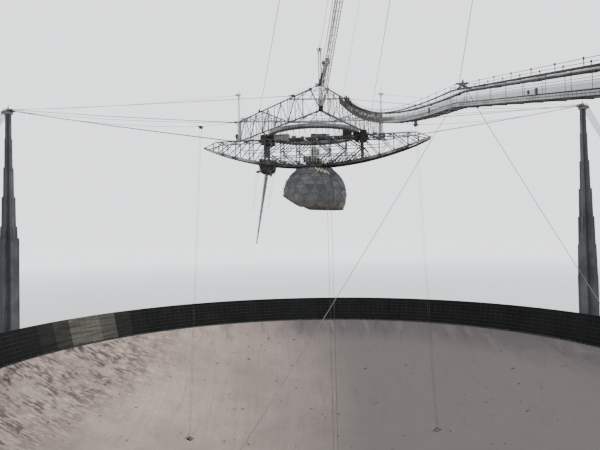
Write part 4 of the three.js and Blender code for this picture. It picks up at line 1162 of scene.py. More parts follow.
def side_fittings():
    """A gangway on the lower chords and handrails on both chords of each side."""
    fittings = Gathered()
    for azimuth, short in SIDES.values():
        side = Gathered()
        start, end = upper_ends(short)
        for edge, level in ((0.2, PLATFORM_HIGH), (1.4, GANGWAY)):
            for x in even(start, end, 24):
                side.upright(x, edge, level, level + HANDRAIL, 0.05)
            side.lengthwise(start, end, edge, level + HANDRAIL, 0.05)
        half = SIDE_HALF * 0.93
        side.block((0, 0.85, GANGWAY), (2 * half, 1.1, 0.08))
        for x in even(-half, half, 24):
            side.bar((x, 0.2, GANGWAY - 0.08), (x, 1.4, GANGWAY - 0.08), 0.08)
        fittings.join(side.moved(side_frame(azimuth)))
    return fittings


def corner_post(name):
    """A corner's post: four braced legs between two blocks."""
    post = Gathered()
    width = 0.5
    legs = [(CORNER_RADIUS + x * width, y * width) for x, y in SQUARE]
    for x, y in legs:
        post.upright(x, y, PLATFORM_LOW, PLATFORM_HIGH, 0.2)
    for (x0, y0), (x1, y1) in pairs(legs, closed=True):
        levels = even(PLATFORM_LOW + 0.2, PLATFORM_HIGH - 0.2, 6)
        for order, (low, high) in enumerate(pairs(levels)):
            ends = (low, high) if order % 2 else (high, low)
            post.bar((x0, y0, ends[0]), (x1, y1, ends[1]), 0.12)
            post.bar((x0, y0, low), (x1, y1, low), 0.14)
    for base in (PLATFORM_LOW, PLATFORM_HIGH - 0.6):
        post.block((CORNER_RADIUS, 0, base + 0.3), (1.7, 1.7, 0.6))
    return post.moved(outward(name))


def corner_ribs(name):
    """The ribs that fan out from the corner at both levels, and the truss across their far ends."""
    ribs = Gathered()
    inner = CORNER_RADIUS / 2
    half = (CORNER_RADIUS - inner) * tan(pi / 6) - 0.6
    posts = even(-half, half, 4)
    truss = Gathered()
    for level in (BAR_LOW, BAR_HIGH):
        truss.lengthwise(-half, half, 0, level, 0.3, CHORD_BAR)
        for y in posts[:-1]:
            ribs.bar((inner, y + half / 4, level), (CORNER_RADIUS - 0.9, 0.12 * y, level), 0.22)
        for share in (0.3, 0.6):
            ribs.crosswise(part_way(inner, CORNER_RADIUS, share), half * (0.95 - share), level, 0.16)
    for y in posts:
        truss.upright(y, 0, BAR_LOW, BAR_HIGH, 0.22)
    laces(truss, posts, 0, BAR_LOW, BAR_HIGH, 0.13)
    ribs.join(truss.moved(Matrix.Translation((inner, 0, 0)) @ Matrix.Rotation(pi / 2, 4, "Z")))
    return ribs.moved(outward(name))


def ring_stiffeners():
    """Upright stiffeners on both faces of the ring's web."""
    stiffeners = Gathered()
    web_top = PLATFORM_LOW - SEAT_GAP
    for turn in range(0, 360, 3):
        for side in (-1, 1):
            spot = polar(RING_RADIUS + side * 0.36, turn, (RING_LOW + web_top) / 2)
            stiffeners.block(spot, (0.3, 0.07, web_top - RING_LOW - 0.35), radians(turn))
    return stiffeners


def ring_rack():
    """The dark toothed track along the ring's lower flange."""
    rack = Gathered()
    low = RING_LOW - 0.02
    for side in (-1, 1):
        rack.turned(rectangle(RING_RADIUS + side * 0.6, low, side * 0.12, 0.36), 120)
        rack.turned(rectangle(RING_RADIUS + side * 0.42, low + 0.3, side * 0.06, 0.5), 120)
    for step in range(240):
        spot = polar(RING_RADIUS + 0.76, 1.5 * step, low + 0.18)
        rack.block(spot, (0.14, 0.2, 0.3), radians(1.5 * step))
    return rack


def corner_mast(name):
    """A corner's mast: two thin legs with rungs, an open cap with a rod and a cross arm, guys, and boxes beside it."""
    mast = Gathered()
    low, top = PLATFORM_HIGH - 0.5, MAST_TOP
    leg = 0.36 if name == "near" else 0.22
    for side in (-1, 1):
        mast.upright(CORNER_RADIUS, side * 0.42, low, top, leg)
        mast.rod([(CORNER_RADIUS, side * 0.5, top), (CORNER_RADIUS - 6, side * 3.2, PLATFORM_HIGH)], 0.04, 5)
        mast.block((CORNER_RADIUS - 3, side * 1.1, PLATFORM_HIGH + 0.5), (1.6, 1, 1))
        for half, level in ((0.5, top - 0.3), (0.85, top + 0.3)):
            mast.crosswise(CORNER_RADIUS + side * half, half, level, 0.26)
            mast.lengthwise(CORNER_RADIUS - half, CORNER_RADIUS + half, side * half, level, 0.26)
    for height in even(low, top - 0.4, 12):
        mast.crosswise(CORNER_RADIUS, 0.44, height, 0.1)
    mast.upright(CORNER_RADIUS, 0, top - 0.3, top + 3, 0.12)
    mast.crosswise(CORNER_RADIUS, 1.2, top - 1, 0.1)
    return mast.moved(outward(name))


def near_derrick():
    """The braced derrick that leans on the near corner, on a block and under a cap."""
    derrick = Gathered()
    foot, tip = Vector((0.4, -40.2, PLATFORM_HIGH + 0.5)), Vector((2.6, -40.2, 174.6))
    for y in (-0.45, 0.45):
        legs = [[spot + Vector((x, y, 0)) for spot in (foot, tip)] for x in (-0.55, 0.55)]
        for low, high in legs:
            derrick.bar(low, high, 0.34)
        for share in even(0.04, 0.96, 9):
            left, right = [low.lerp(high, share) for low, high in legs]
            derrick.bar(left, right, 0.26)
            derrick.bar(left, legs[1][0].lerp(legs[1][1], share + 0.1), 0.16)
    derrick.block(foot.lerp(tip, 0.03), (1.7, 1.4, 1.2))
    derrick.block(tip, (1.6, 1.4, 1.1))
    derrick.block((0, -39.2, PLATFORM_LOW + 1.1), (1.5, 1.5, 2.2))
    return derrick


def add_platform():
    body, slot = "fixed_structure", "platform_steel"
    for name, (azimuth, short) in SIDES.items():
        piece(f"side_chords_{name}", side_chords(azimuth, short), CHORD_STEEL, body, [f"side_truss_{name}"])
        piece(f"side_lattice_{name}", side_lattice(azimuth, short), STEEL if name == "far" else GREY_STEEL, body)
    piece("side_fittings", side_fittings(), GREY_STEEL, body)
    piece("ring_stiffeners", ring_stiffeners(), STEEL, body)
    piece("ring_rack", ring_rack(), DARK_STEEL, body)
    for name in AZIMUTHS:
        piece(f"corner_post_{name}", corner_post(name), CHORD_STEEL if name == "near" else STEEL, body,
              [f"platform_corner_{name}"])
        piece(f"corner_ribs_{name}", corner_ribs(name), GREY_STEEL, body)
        piece(f"corner_mast_{name}", corner_mast(name), STEEL, body)
    piece("near_derrick", near_derrick(), DARK_STEEL, body)


# Arm: its planes, decks, cabins and machinery, in a frame whose +X runs along it

ARM_TURN = Matrix.Rotation(ARM_YAW, 4, "Z")


def arm_low(x):
    return FOCUS_Z - sqrt(RAIL_RADIUS ** 2 - x ** 2)


def girder_top(x):
    return arm_low(x) + GIRDER_DEPTH


def arm_high(x):
    beyond = max(0.0, abs(x) - ARM_SHOULDER) / (ARM_HALF - ARM_SHOULDER)
    return part_way(ARM_TOP, ARM_TIP_TOP, beyond)


def arm_side(side, x):
    """Across the arm, where one of its planes is: the planes close in beyond the last stations."""
    beyond = max(0.0, abs(x) - ARM_STATIONS[-2]) / (ARM_STATIONS[-1] - ARM_STATIONS[-2])
    return side * ARM_PLANE * (1 - 0.5 * beyond)


def above_carriages(x):
    """The lowest height between the planes that the passing carriages leave free."""
    return FOCUS_Z - sqrt(CARRIAGE_TOP ** 2 - x * x)


def twin_bar(target, start, end, width, apart):
    """Two parallel bars, side by side in the arm's plane."""
    start, end = Vector(start), Vector(end)
    offset = (end - start).normalized().cross(Vector((0, 1, 0))) * apart / 2
    for shift in (offset, -offset):
        target.bar(start + shift, end + shift, width)


def arm_lattice(side):
    """One plane of the arm: its bowed girder with flanges and rail, its top chord, posts and slanting bars."""
    lattice = Gathered()
    y = side * ARM_PLANE
    places = even(-ARM_HALF - 0.5, ARM_HALF + 0.5, 66)
    section = [(-0.24, 0), (0.24, 0), (0.24, 0.12), (0.08, 0.2), (0.08, 0.75), (0.24, 0.83), (0.24, 0.95),
               (-0.24, 0.95), (-0.24, 0.83), (-0.08, 0.75), (-0.08, 0.2), (-0.24, 0.12)]
    lattice.prism([[(x, arm_side(side, x) + across, arm_low(x) + min(rise, 0.8 + arm_high(x) - arm_low(x)))
                    for across, rise in section] for x in places])
    rail = rectangle(-0.5, 0.8, 0.3, 0.3)
    lattice.prism([[(x, y + side * across, arm_low(x) + rise) for across, rise in rail] for x in places[6:-6]])
    tops = [-ARM_HALF, -ARM_STATIONS[-2], -ARM_SHOULDER, ARM_SHOULDER, ARM_STATIONS[-2], ARM_HALF]
    lattice.prism([[(x, arm_side(side, x) + across, arm_high(x) - rise)
                    for across, rise in rectangle(-0.18, 0, 0.36, 0.36)] for x in tops])
    for end in (-1, 1):
        for station in ARM_STATIONS[:-1]:
            x = end * station
            lattice.upright(x, y, girder_top(x), arm_high(x) - 0.3, 0.34)
        for order, (inner, outer) in enumerate(pairs(ARM_STATIONS[:-1])):
            (near_low, near_high), (far_low, far_high) = [(girder_top(x), arm_high(x) - 0.3) for x in (inner, outer)]
            if order < 3:
                middle = (end * outer, y, (far_low + far_high) / 2)
                for z in (near_low, near_high):
                    twin_bar(lattice, (end * inner, y, z), middle, 0.34, 1)
                continue
            lattice.bar((end * inner, y, near_high), (end * outer, y, far_low), 0.32)
            if order > 3:
                lattice.bar((end * inner, y, near_low), (end * outer, y, far_high), 0.2)
    lattice.lengthwise(-30.75, 30.75, y, 149.4, 0.26)
    return lattice.moved(ARM_TURN)


def arm_cross_bars():
    """Crossed bars between the arm's two planes."""
    bars = Gathered()
    for x in [end * station for end in (-1, 1) for station in ARM_STATIONS[:-2]]:
        top, low = arm_high(x) - 0.5, max(above_carriages(x) + 0.2, 146.8)
        for start, end in ((-1, 1), (1, -1)):
            bars.bar((x, start * ARM_PLANE, top), (x, end * ARM_PLANE, low), 0.14)
    return bars.moved(ARM_TURN)


def level_lattice(half, bays, level):
    """A level lattice between the arm's two planes: edge bars, cross bars and slanting bars."""
    lattice = Gathered()
    places = even(-half, half, bays)
    for side in (-1, 1):
        lattice.lengthwise(-half, half, side * (ARM_PLANE - 0.3), level, 0.3)
    for order, x in enumerate(places):
        lattice.crosswise(x, ARM_PLANE, level, 0.26)
        if order < bays:
            for side in (-1, 1):
                lattice.bar((x, -side * ARM_PLANE, level), (places[order + 1], side * ARM_PLANE, level), 0.13)
    return lattice.moved(ARM_TURN)


def girder_plates(side):
    """Upright stiffeners on the outer face of a bowed girder, and the lumps of its splices."""
    plates = Gathered()
    y = side * ARM_PLANE
    for order, x in enumerate(even(-ARM_HALF + 0.6, ARM_HALF - 0.6, 54)):
        plates.block((x, y + side * 0.16, arm_low(x) + 0.48), (0.1, 0.16, 0.75))
        if order % 6 == 3:
            plates.block((x, y + side * 0.2, arm_low(x) + 0.5), (1.2, 0.14, 0.8))
    return plates.moved(ARM_TURN)


def arm_gangways():
    """The dark lower flange and the gangway's rail beside the middle of the arm."""
    dark = Gathered()
    for side in (-1, 1):
        out, lift = Vector((0, side * 0.3, 0)), Vector((0, side * 0.3, 1))
        edge = [Vector((x, side * (ARM_PLANE + 0.6), arm_low(x) + 0.1)) for x in even(-24, 24, 24)]
        for start, end in pairs(edge):
            dark.bar(start, end, 0.7, 0.12)
            dark.bar(start + lift, end + lift, 0.06)
            dark.bar(start + out, start + lift, 0.06)
    return dark.moved(ARM_TURN)


def trolley_posts():
    """Heavy dark posts that carry the load of the arm up to its two trolleys, between two cross beams."""
    posts = Gathered()
    for end in (-1, 1):
        x = end * 21
        foot = 146.5
        for side in (-1, 1):
            y = side * 1.2
            posts.upright(x, y, foot, ARM_TOP, 0.9)
            for share in even(0.1, 0.9, 6):
                posts.block((x, y, part_way(foot, ARM_TOP, share)), (1.3, 1.1, 0.3))
            posts.bar((x, y, foot + 3), (x + end * 2.4, y, foot + 0.4), 0.4)
            low = girder_top(x)
            posts.block((x, side * (ARM_PLANE + 0.1), (low + ARM_TOP) / 2), (0.9, 0.5, ARM_TOP - low))
        for z in (foot + 0.35, ARM_TOP - 0.6):
            posts.crosswise(x, ARM_PLANE, z, 0.7)
    return posts.moved(ARM_TURN)


def trolley_machines():
    """Motors, gearboxes, side plates and boxes crowded round the two trolleys."""
    machines = Gathered()
    for end in (-1, 1):
        for side in (-1, 1):
            machines.block((end * 18.2, side * 2.7, 154.9), (1.6, 1.2, 1.3))
            machines.rod([(end * 18.2, side * y, 154.9) for y in (3.2, 4.6)], 0.42, 10)
            machines.block((end * 21.7, side * 2.9, 155.2), (2.2, 0.5, 1.5))
            for x, z, width, height in ((18.7, 152.8, 1.5, 1.7), (20.3, 152.2, 1.2, 1.3), (22.0, 152.6, 1.6, 2.0),
                                        (23.2, 153.3, 0.9, 1.5), (22.6, 155.0, 1.0, 1.9)):
                depth = 0.8 + 0.5 * spread(x + z, 0.618)
                machines.block((end * x, side * 2.9, z), (width, depth, height))
            machines.rod([(end * 17.4, side * 3.4, 152.2), (end * 23.6, side * 3.4, 151.6)], 0.2, 6)
        machines.block((end * 22.4, 0, 154.5), (1.4, 4.4, 0.5))
    return machines.moved(ARM_TURN)


def deck_rails():
    """Handrails along both top chords of the arm."""
    rails = Gathered()
    for side in (-1, 1):
        y = side * (ARM_PLANE + 0.1)
        for start, end in ((-43.5, -24.5), (-16.4, 16.4), (24.5, 43.5)):
            count = int((end - start) / 2.4)
            for x in even(start, end, count):
                rails.upright(x, y, ARM_TOP, ARM_TOP + 0.4, 0.07)
            rails.lengthwise(start, end, y, ARM_TOP + 0.4, 0.07)
    return rails.moved(ARM_TURN)


def drive_box():
    """The framed machinery box on each girder, under the middle deck."""
    box = Gathered()
    for side in (-1, 1):
        y = side * (ARM_PLANE - 0.75)
        box.block((-1.2, y, 144.85), (6.2, 0.9, 1.8))
        box.block((-1.2, y + side * 0.45, 144.4), (6.2, 0.1, 2.7))
        for z in (143.05, 144.4, 145.75):
            box.block((-1.2, y + side * 0.5, z), (6.6, 0.14, 0.2))
    return box.moved(ARM_TURN)


def cab_windows():
    """Dark panes of the machinery box and the centre cab, and the cabin's row of windows."""
    panes = Gathered()
    for side in (-1, 1):
        for x in (-3.5, -2.6, 0.0, 0.9):
            panes.block((x, side * (ARM_PLANE - 0.2), 144.5), (0.6, 0.06, 2.1))
        panes.block((0.45, side * 1.67 - 0.1, 148.3), (1.6, 0.08, 1.0))
    for x in even(-16.0, -12.6, 3):
        panes.block((x, -3.94, 155.1), (0.5, 0.08, 0.5))
    return panes.moved(ARM_TURN)


def cab_frames():
    """The pale frames round the near box's windows and round the centre cab, with their rails."""
    frames = Gathered()
    y = -(ARM_PLANE - 0.12)
    for x in (-4.1, -3.05, -2.1, -0.5, 0.45, 1.5):
        frames.upright(x, y, 143, 149.6 if x > -1 else 146, 0.24)
    frames.lengthwise(-4.1, -2.1, y, 145.8, 0.3)
    for z in (145.8, 147.2, 148.4, 149.6):
        frames.lengthwise(-0.5, 1.5, y, z, 0.3)
    for side in (-1, 1):
        for x in (-1.7, 0.5, 2.7):
            frames.upright(x, side * 2.1, 146.6, 149.9, 0.18)
        for z in (147.7, 149.9):
            frames.lengthwise(-1.7, 2.7, side * 2.1, z, 0.14)
    for x in (-1.7, 2.7):
        frames.crosswise(x, 2.1, 149.9, 0.14)
    return frames.moved(ARM_TURN)


def arm_cabin_walls():
    """The long cabin on the near edge of the top deck, with a rounded roof, ribs and a skirt below the deck."""
    walls = Gathered()
    arc = [(-1.9 - 2.0 * cos(t), 155.75 + 0.35 * sin(t)) for t in even(0, pi, 8)]
    profile = arc + [(0.1, 153.45), (-3.9, 153.45)]
    walls.prism([[(x, y, z) for y, z in profile] for x in (-16.9, -10.5)])
    for x in even(-16.8, -10.6, 7):
        walls.upright(x, -3.93, 153.45, 155.7, 0.12)
    walls.block((-13.7, -3.95, 153.5), (6.6, 0.16, 0.2))
    return walls.moved(ARM_TURN)


def top_floor():
    """Brown boards on the middle of the top deck, seen from below through its lattice."""
    floor = Gathered()
    for order, x in enumerate(even(-20, 20, 40)):
        if spread(order) < 0.85:
            floor.block((x, 0, ARM_TOP - 0.05), (0.9, 2 * ARM_PLANE - 0.5, 0.1))
    return floor.moved(ARM_TURN)


def low_clutter():
    """Pipes, boxes and rail posts crowded along the middle of both girders."""
    clutter = Gathered()
    for side in (-1, 1):
        y = side * (ARM_PLANE + 0.04)
        for order, x in enumerate(even(-24, 24, 96)):
            chance, other = spread(order), spread(order, 0.414214)
            base = girder_top(x) + 0.15 + 1.1 * spread(order, 0.302776)
            if abs(x + 1.2) < 4:
                continue
            clutter.block((x, y, base + 0.4 * chance), (0.2 + 0.4 * other, 0.42, 0.3 + 1.1 * chance))
            if order % 3 == 0:
                clutter.upright(x, y, base, base + 1.9, 0.1)
        for lift in (0.9, 1.5, 2.1):
            clutter.rod([(x, y, girder_top(x) + lift) for x in even(-24, 24, 24)], 0.07, 5)
    return clutter.moved(ARM_TURN)


def arm_clutter():
    """Boxes, reels and pipes along the arm's top deck."""
    clutter = Gathered()
    for x, y, width, height in ((-31, 1.2, 1.6, 1.1), (-27.5, -1.6, 1.1, 0.9), (-8.4, -2.2, 1.8, 1.2),
                                (-5.2, 1.4, 1.2, 1.6), (6.2, -1.8, 1.5, 1.3), (9.1, 2.0, 1.2, 1.0),
                                (26.5, -1.2, 1.4, 1.1), (33, 1.0, 1.1, 0.8)):
        clutter.block((x, y, ARM_TOP + height / 2), (width, 0.8 * width, height))
        ends = [(x, y + side * 0.7 * width, ARM_TOP + 0.5 * height) for side in (-1, 1)]
        clutter.taper(*ends, 0.4 * height, 0.4 * height)
    for y in (-3.0, -2.7, 2.8):
        clutter.rod([(-42, y, ARM_TOP + 0.15), (42, y, ARM_TOP + 0.15)], 0.1, 6)
    return clutter.moved(ARM_TURN)


def add_arm():
    body = "azimuth_arm"
    for name, side, finish in (("near", -1, ARM_STEEL), ("far", 1, SHADED_ARM_STEEL)):
        piece(f"arm_lattice_{name}", arm_lattice(side), finish, body, [f"arm_truss_{name}"])
        piece(f"girder_plates_{name}", girder_plates(side), finish, body)
    piece("arm_cross_bars", arm_cross_bars(), GREY_STEEL, body)
    piece("top_lattice", level_lattice(ARM_SHOULDER, 14, ARM_TOP - 0.2), DARK_STEEL, body,
          ["arm_top_deck"])
    piece("top_floor", top_floor(), OLD_BOARDS, body)
    piece("low_clutter", low_clutter(), CHORD_STEEL, body)
    piece("mid_lattice", level_lattice(18, 6, MID_DECK), GREY_STEEL, body, ["arm_mid_deck"])
    piece("arm_gangways", arm_gangways(), DARK_STEEL, body)
    piece("trolley_posts", trolley_posts(), DARK_STEEL, body)
    piece("trolley_machines", trolley_machines(), DARK_STEEL, body)
    piece("deck_rails", deck_rails(), STEEL, body)
    piece("drive_box", drive_box(), DARK_STEEL, body)
    piece("cab_windows", cab_windows(), PANES, body)
    piece("cab_frames", cab_frames(), STEEL, body)
    piece("arm_cabin_walls", arm_cabin_walls(), DULL_CABIN, body, ["arm_cabin"])
    piece("arm_clutter", arm_clutter(), CHORD_STEEL, body)


# Dome and line feed

def split_sphere(detail):
    """Corners and triangles of a twenty-sided body with each side split evenly, on a unit sphere."""
    golden = (1 + sqrt(5)) / 2
    seeds = [Vector(spot).normalized() for spot in (
        (-1, golden, 0), (1, golden, 0), (-1, -golden, 0), (1, -golden, 0),
        (0, -1, golden), (0, 1, golden), (0, -1, -golden), (0, 1, -golden),
        (golden, 0, -1), (golden, 0, 1), (-golden, 0, -1), (-golden, 0, 1))]
    reach = min((a - b).length for a in seeds for b in seeds if a != b) * 1.01
    sides = [(a, b, c) for i, a in enumerate(seeds) for j, b in enumerate(seeds) for k, c in enumerate(seeds)
             if i < j < k and (a - b).length < reach and (b - c).length < reach and (c - a).length < reach]
    triangles = []
    for a, b, c in sides:
        if (b - a).cross(c - a).dot(a) < 0:
            b, c = c, b
        spot = lambda i, j: (a + (b - a) * i / detail + (c - a) * j / detail).normalized()
        for i in range(detail):
            for j in range(detail - i):
                triangles.append((spot(i, j), spot(i + 1, j), spot(i, j + 1)))
                if i + j < detail - 1:
                    triangles.append((spot(i + 1, j), spot(i + 1, j + 1), spot(i, j + 1)))
    return triangles


def keep_below(polygon, normal, offset):
    """The part of a flat polygon that lies on the low side of a plane."""
    kept = []
    for here, there in pairs(polygon, closed=True):
        a, b = here.dot(normal) - offset, there.dot(normal) - offset
        if a <= 0:
            kept.append(here)
        if (a < 0 < b) or (b < 0 < a):
            kept.append(here + (there - here) * (a / (a - b)))
    return kept


def dome_planes():
    """The roof plane and the two planes of the mouth, with normals that point out of the dome."""
    left, corner, right = (Vector((x, 0, FOCUS_Z - z)) for x, z in DOME_MOUTH)
    planes = [(Vector((0, 0, 1)), DOME_ROOF)]
    for start, end in ((left, corner), (corner, right)):
        along = (end - start).normalized()
        normal = Vector((along.z, 0, -along.x))
        planes.append((normal, start.dot(normal)))
    return planes


def dome_skin():
    """Triangular sheets, cut by the roof and the mouth, each one proud of its dark seams."""
    outer, inner = Gathered(), Gathered()
    centre = Vector((0, 0, FOCUS_Z - DOME_DEPTH))
    planes = dome_planes()
    for order, triangle in enumerate(split_sphere(4)):
        middle = sum(triangle, Vector()) / 3
        sheet = [corner + (middle - corner).normalized() * 0.01 for corner in triangle]
        for target, radius, gap in ((outer, DOME_RADIUS, 1.0), (inner, DOME_RADIUS - 0.3, 0.0)):
            corners = sheet if gap else list(triangle)
            polygon = [centre + corner * radius for corner in corners]
            for normal, offset in planes:
                polygon = keep_below(polygon, normal, offset)
            if len(polygon) > 2:
                tone = spread(order)
                face = tuple(range(len(polygon)))
                target.add(polygon, [face if gap else tuple(reversed(face))], tone)
    return outer, inner


def on_dome(heading, tilt, lift=0.0):
    """A point on the dome, by its heading and its angle from the top."""
    turn, fall = radians(heading), radians(tilt)
    radius = DOME_RADIUS + lift
    return Vector((radius * sin(fall) * cos(turn), radius * sin(fall) * sin(turn),
                   FOCUS_Z - DOME_DEPTH + radius * cos(fall)))


def inside_mouth(spot):
    return all(spot.dot(normal) < offset + 0.002 for normal, offset in dome_planes())


def dome_seams():
    """Level seam strips round the dome, kept where its skin is."""
    seams = Gathered()
    for tilt in (52, 66, 80.5, 91.5, 103):
        ring = [on_dome(heading, tilt, -0.02) for heading in range(0, 361, 4)]
        for start, end in pairs(ring):
            if inside_mouth(start) and inside_mouth(end):
                seams.bar(start, end, 0.14, 0.1)
    return seams.moved(ARM_TURN)


def dome_edges():
    """Dark angle bars round the roof opening's edge and round the mouth."""
    edges = Gathered()
    centre = Vector((0, 0, FOCUS_Z - DOME_DEPTH))
    for normal, offset in dome_planes():
        depth = offset - centre.dot(normal)
        radius = sqrt((DOME_RADIUS - 0.05) ** 2 - depth ** 2)
        across, over = cross_axes(normal, Vector((0, 1, 0)))
        middle = centre + normal * depth
        ring = [middle + (across * cos(t) + over * sin(t)) * radius for t in even(0, 2 * pi, 72)]
        for start, end in pairs(ring):
            if inside_mouth(start) and inside_mouth(end):
                edges.bar(start, end, 0.3, 0.3, up=normal)
    return edges.moved(ARM_TURN)


def dome_ladder():
    """Short cream stair flights over the shoulder, stepped to the right, and vent boxes on the left side."""
    ladder = Gathered()
    for order, heading in enumerate((-74, -66, -58, -50)):
        start = 38 + 2.5 * order
        ladder.bar(on_dome(heading - 5, start, 0.2), on_dome(heading + 1, start + 10, 0.2), 0.22, 0.4)
    for heading, tilt in ((-168, 62), (-165, 76), (178, 70), (168, 83)):
        foot = on_dome(heading, tilt, -0.05)
        ladder.bar(foot, on_dome(heading, tilt, 0.55), 0.6, 0.45)
    return ladder.moved(ARM_TURN)


def dome_receivers():
    """What the open mouth shows: a ring frame, a curved mirror on struts, and a turret of horns."""
    inside = Gathered()
    floor = 136.2
    for radius in (4.2, 8.6):
        inside.turned(rectangle(radius, floor, 0.3, 0.4), 32)
    for heading in range(0, 360, 30):
        inside.bar(polar(4.3, heading, floor + 0.2), polar(8.7, heading, floor + 0.2), 0.25)
    for heading in range(15, 375, 60):
        inside.bar(polar(4.3, heading, floor + 0.2), polar(3.2, heading, 139.8), 0.25)
    for heading in range(0, 360, 72):
        foot = polar(2.6, heading, 0) + Vector((3, 0, 0))
        inside.taper(foot + Vector((0, 0, floor + 0.2)), foot + Vector((0, 0, floor - 1.6)), 0.35, 0.8)
    mirror = [[Vector((-5.5 + r * cos(t), r * sin(t), 130.2 + 0.045 * r * r))
               for t in even(0, 2 * pi, 24)] for r in (0.02, 1, 2, 3, 4)]
    inside.strip(mirror)
    inside.strip([[spot - Vector((0, 0, 0.12)) for spot in row] for row in reversed(mirror)])
    for heading in range(30, 390, 60):
        rim = Vector((-5.5, 0, 130.85)) + polar(3.8, heading, 0)
        inside.bar(rim, polar(8.6, heading, floor) * 0.8 + Vector((-1.2, 0, 0.2 * floor)), 0.18)
    return inside.moved(ARM_TURN)


def add_dome():
    skin, lining = dome_skin()
    body = "dome"
    piece("dome_sheets", skin.moved(ARM_TURN), DOME_SHEETS, body, ["dome_shell"])
    piece("dome_lining", lining.moved(ARM_TURN), GREY_STEEL, body)
    piece("dome_seams", dome_seams(), CHORD_STEEL, body)
    piece("dome_edges", dome_edges(), DARK_STEEL, body)
    piece("dome_ladder", dome_ladder(), CREAM_PAINT, body)
    piece("dome_receivers", dome_receivers(), STEEL, body)


# Line feed, in a frame whose origin is the bowl's centre of curvature, tilted along the arm

FEED_TILT = radians(9.4)
FEED_TURN = ARM_TURN @ Matrix.Translation((0, 0, FOCUS_Z)) @ Matrix.Rotation(FEED_TILT, 4, "Y")
HOUSE_TOP = -127.6
HOUSE_LOW = -130.9
FEED_TOP = -132.1
FEED_END = -161.9


def feed_house_frames():
    """Corner bars, belts and louvres on the feed house, and its ragged side arms."""
    frames = Gathered()
    top, low, deep = 3.4, 1.7, 2.4
    for side in (-1, 1):
        for end in (-1, 1):
            frames.bar((end * top, side * deep, HOUSE_TOP), (end * low, side * deep, HOUSE_LOW), 0.22)
        for share in (0.0, 0.33, 0.66, 1.0):
            half = part_way(top, low, share)
            z = part_way(HOUSE_TOP, HOUSE_LOW, share)
            frames.lengthwise(-half, half, side * deep, z, 0.2)
        for share in even(0.1, 0.9, 9):
            half = part_way(top, low, share) * 0.75
            z = part_way(HOUSE_TOP, HOUSE_LOW, share)
            frames.lengthwise(-half, half, side * (deep + 0.05), z, 0.1)
    for y in (-1.6, 0, 1.6):
        frames.bar((-2.3, y, -129.6), (-4.6, y, -130.6), 0.3)
        frames.bar((-2.9, y, -128.4), (-4.6, y, -130.6), 0.16)
        frames.bar((2.3, y, -129.6), (3.6, y, -130.2), 0.2)
    for order in range(34):
        share, other, third = (scatter(order, step) for step in (1, 2, 3))
        spot = ((2 * other - 1) * part_way(top, low, share), (-1 if order % 2 else 1) * (deep + 0.15),
                part_way(HOUSE_TOP, HOUSE_LOW, share))
        frames.block(spot, (0.5 + 1.3 * third, 0.6, 0.4 + 0.9 * other))
    frames.crosswise(-4.6, 1.8, -130.6, 0.25)
    frames.crosswise(3.6, 1.8, -130.2, 0.2)
    return frames.moved(FEED_TURN)


def feed_line():
    """The tapering feed: close discs on a core, with a joint collar every few metres and a tip."""
    line = Gathered()
    for share in even(0, 1, 73):
        z = part_way(FEED_TOP, FEED_END + 0.5, share)
        radius = 0.95 - 0.62 * share
        line.taper((0, 0, z), (0, 0, z - 0.14), radius, radius, 10, 0.2)
    line.taper((0, 0, HOUSE_LOW - SEAT_GAP), (0, 0, FEED_END + 0.3), 0.7, 0.2, 10, 0.8)
    for share in even(0, 1, 6):
        z = part_way(FEED_TOP, FEED_END + 0.6, share)
        radius = 0.95 - 0.62 * share
        line.taper((0, 0, z), (0, 0, z - 0.35), radius, radius, 12, 0.3)
    line.taper((0, 0, FEED_END + 0.3), (0, 0, FEED_END), 0.3, 0.08, 10, 0.3)
    return line.moved(FEED_TURN)


def feed_stays():
    """Thin ropes and spreaders that steady the feed, hung from the arms of its house."""
    stays = Gathered()
    for x, start, reach in ((-4.4, -130.8, 148), (3.4, -130.4, 146)):
        for y in (-1.5, 1.5):
            stays.rod([(x, y, start), (x * 0.85, y * 0.4, -reach)], 0.04, 4)
        for z in even(-132, -reach + 1, 6):
            share = (z + 130.8) / (130.8 - reach)
            stays.lengthwise(x * (1 - 0.15 * share), 0, 0, z, 0.05)
            stays.crosswise(x * 0.95, 1.4 * (1 - 0.6 * share), z, 0.05)
    return stays.moved(FEED_TURN)


def add_feed():
    body = "line_feed_carriage"
    piece("feed_house_frames", feed_house_frames(), DARK_STEEL, body)
    piece("feed_line", feed_line(), FEED_METAL, body, ["line_feed"])
    piece("feed_stays", feed_stays(), THIN_ROPE, body)


# Catwalk: its mesh sides, frames, ropes and lights, what stands at its bend and landing, and its stays

def walk_height(y):
    if y < WALK_KINK[0]:
        return part_way(WALK_KINK[1], WALK_END[1], (y - WALK_KINK[0]) / (WALK_END[0] - WALK_KINK[0]))
    share = (y - WALK_LANDING[0]) / (WALK_KINK[0] - WALK_LANDING[0])
    return part_way(WALK_LANDING[1], WALK_KINK[1], share) - 4 * WALK_SAG * share * (1 - share)


def walk_spot(x, y, rise):
    return Vector((WALK_X + x, y, walk_height(y) + rise))


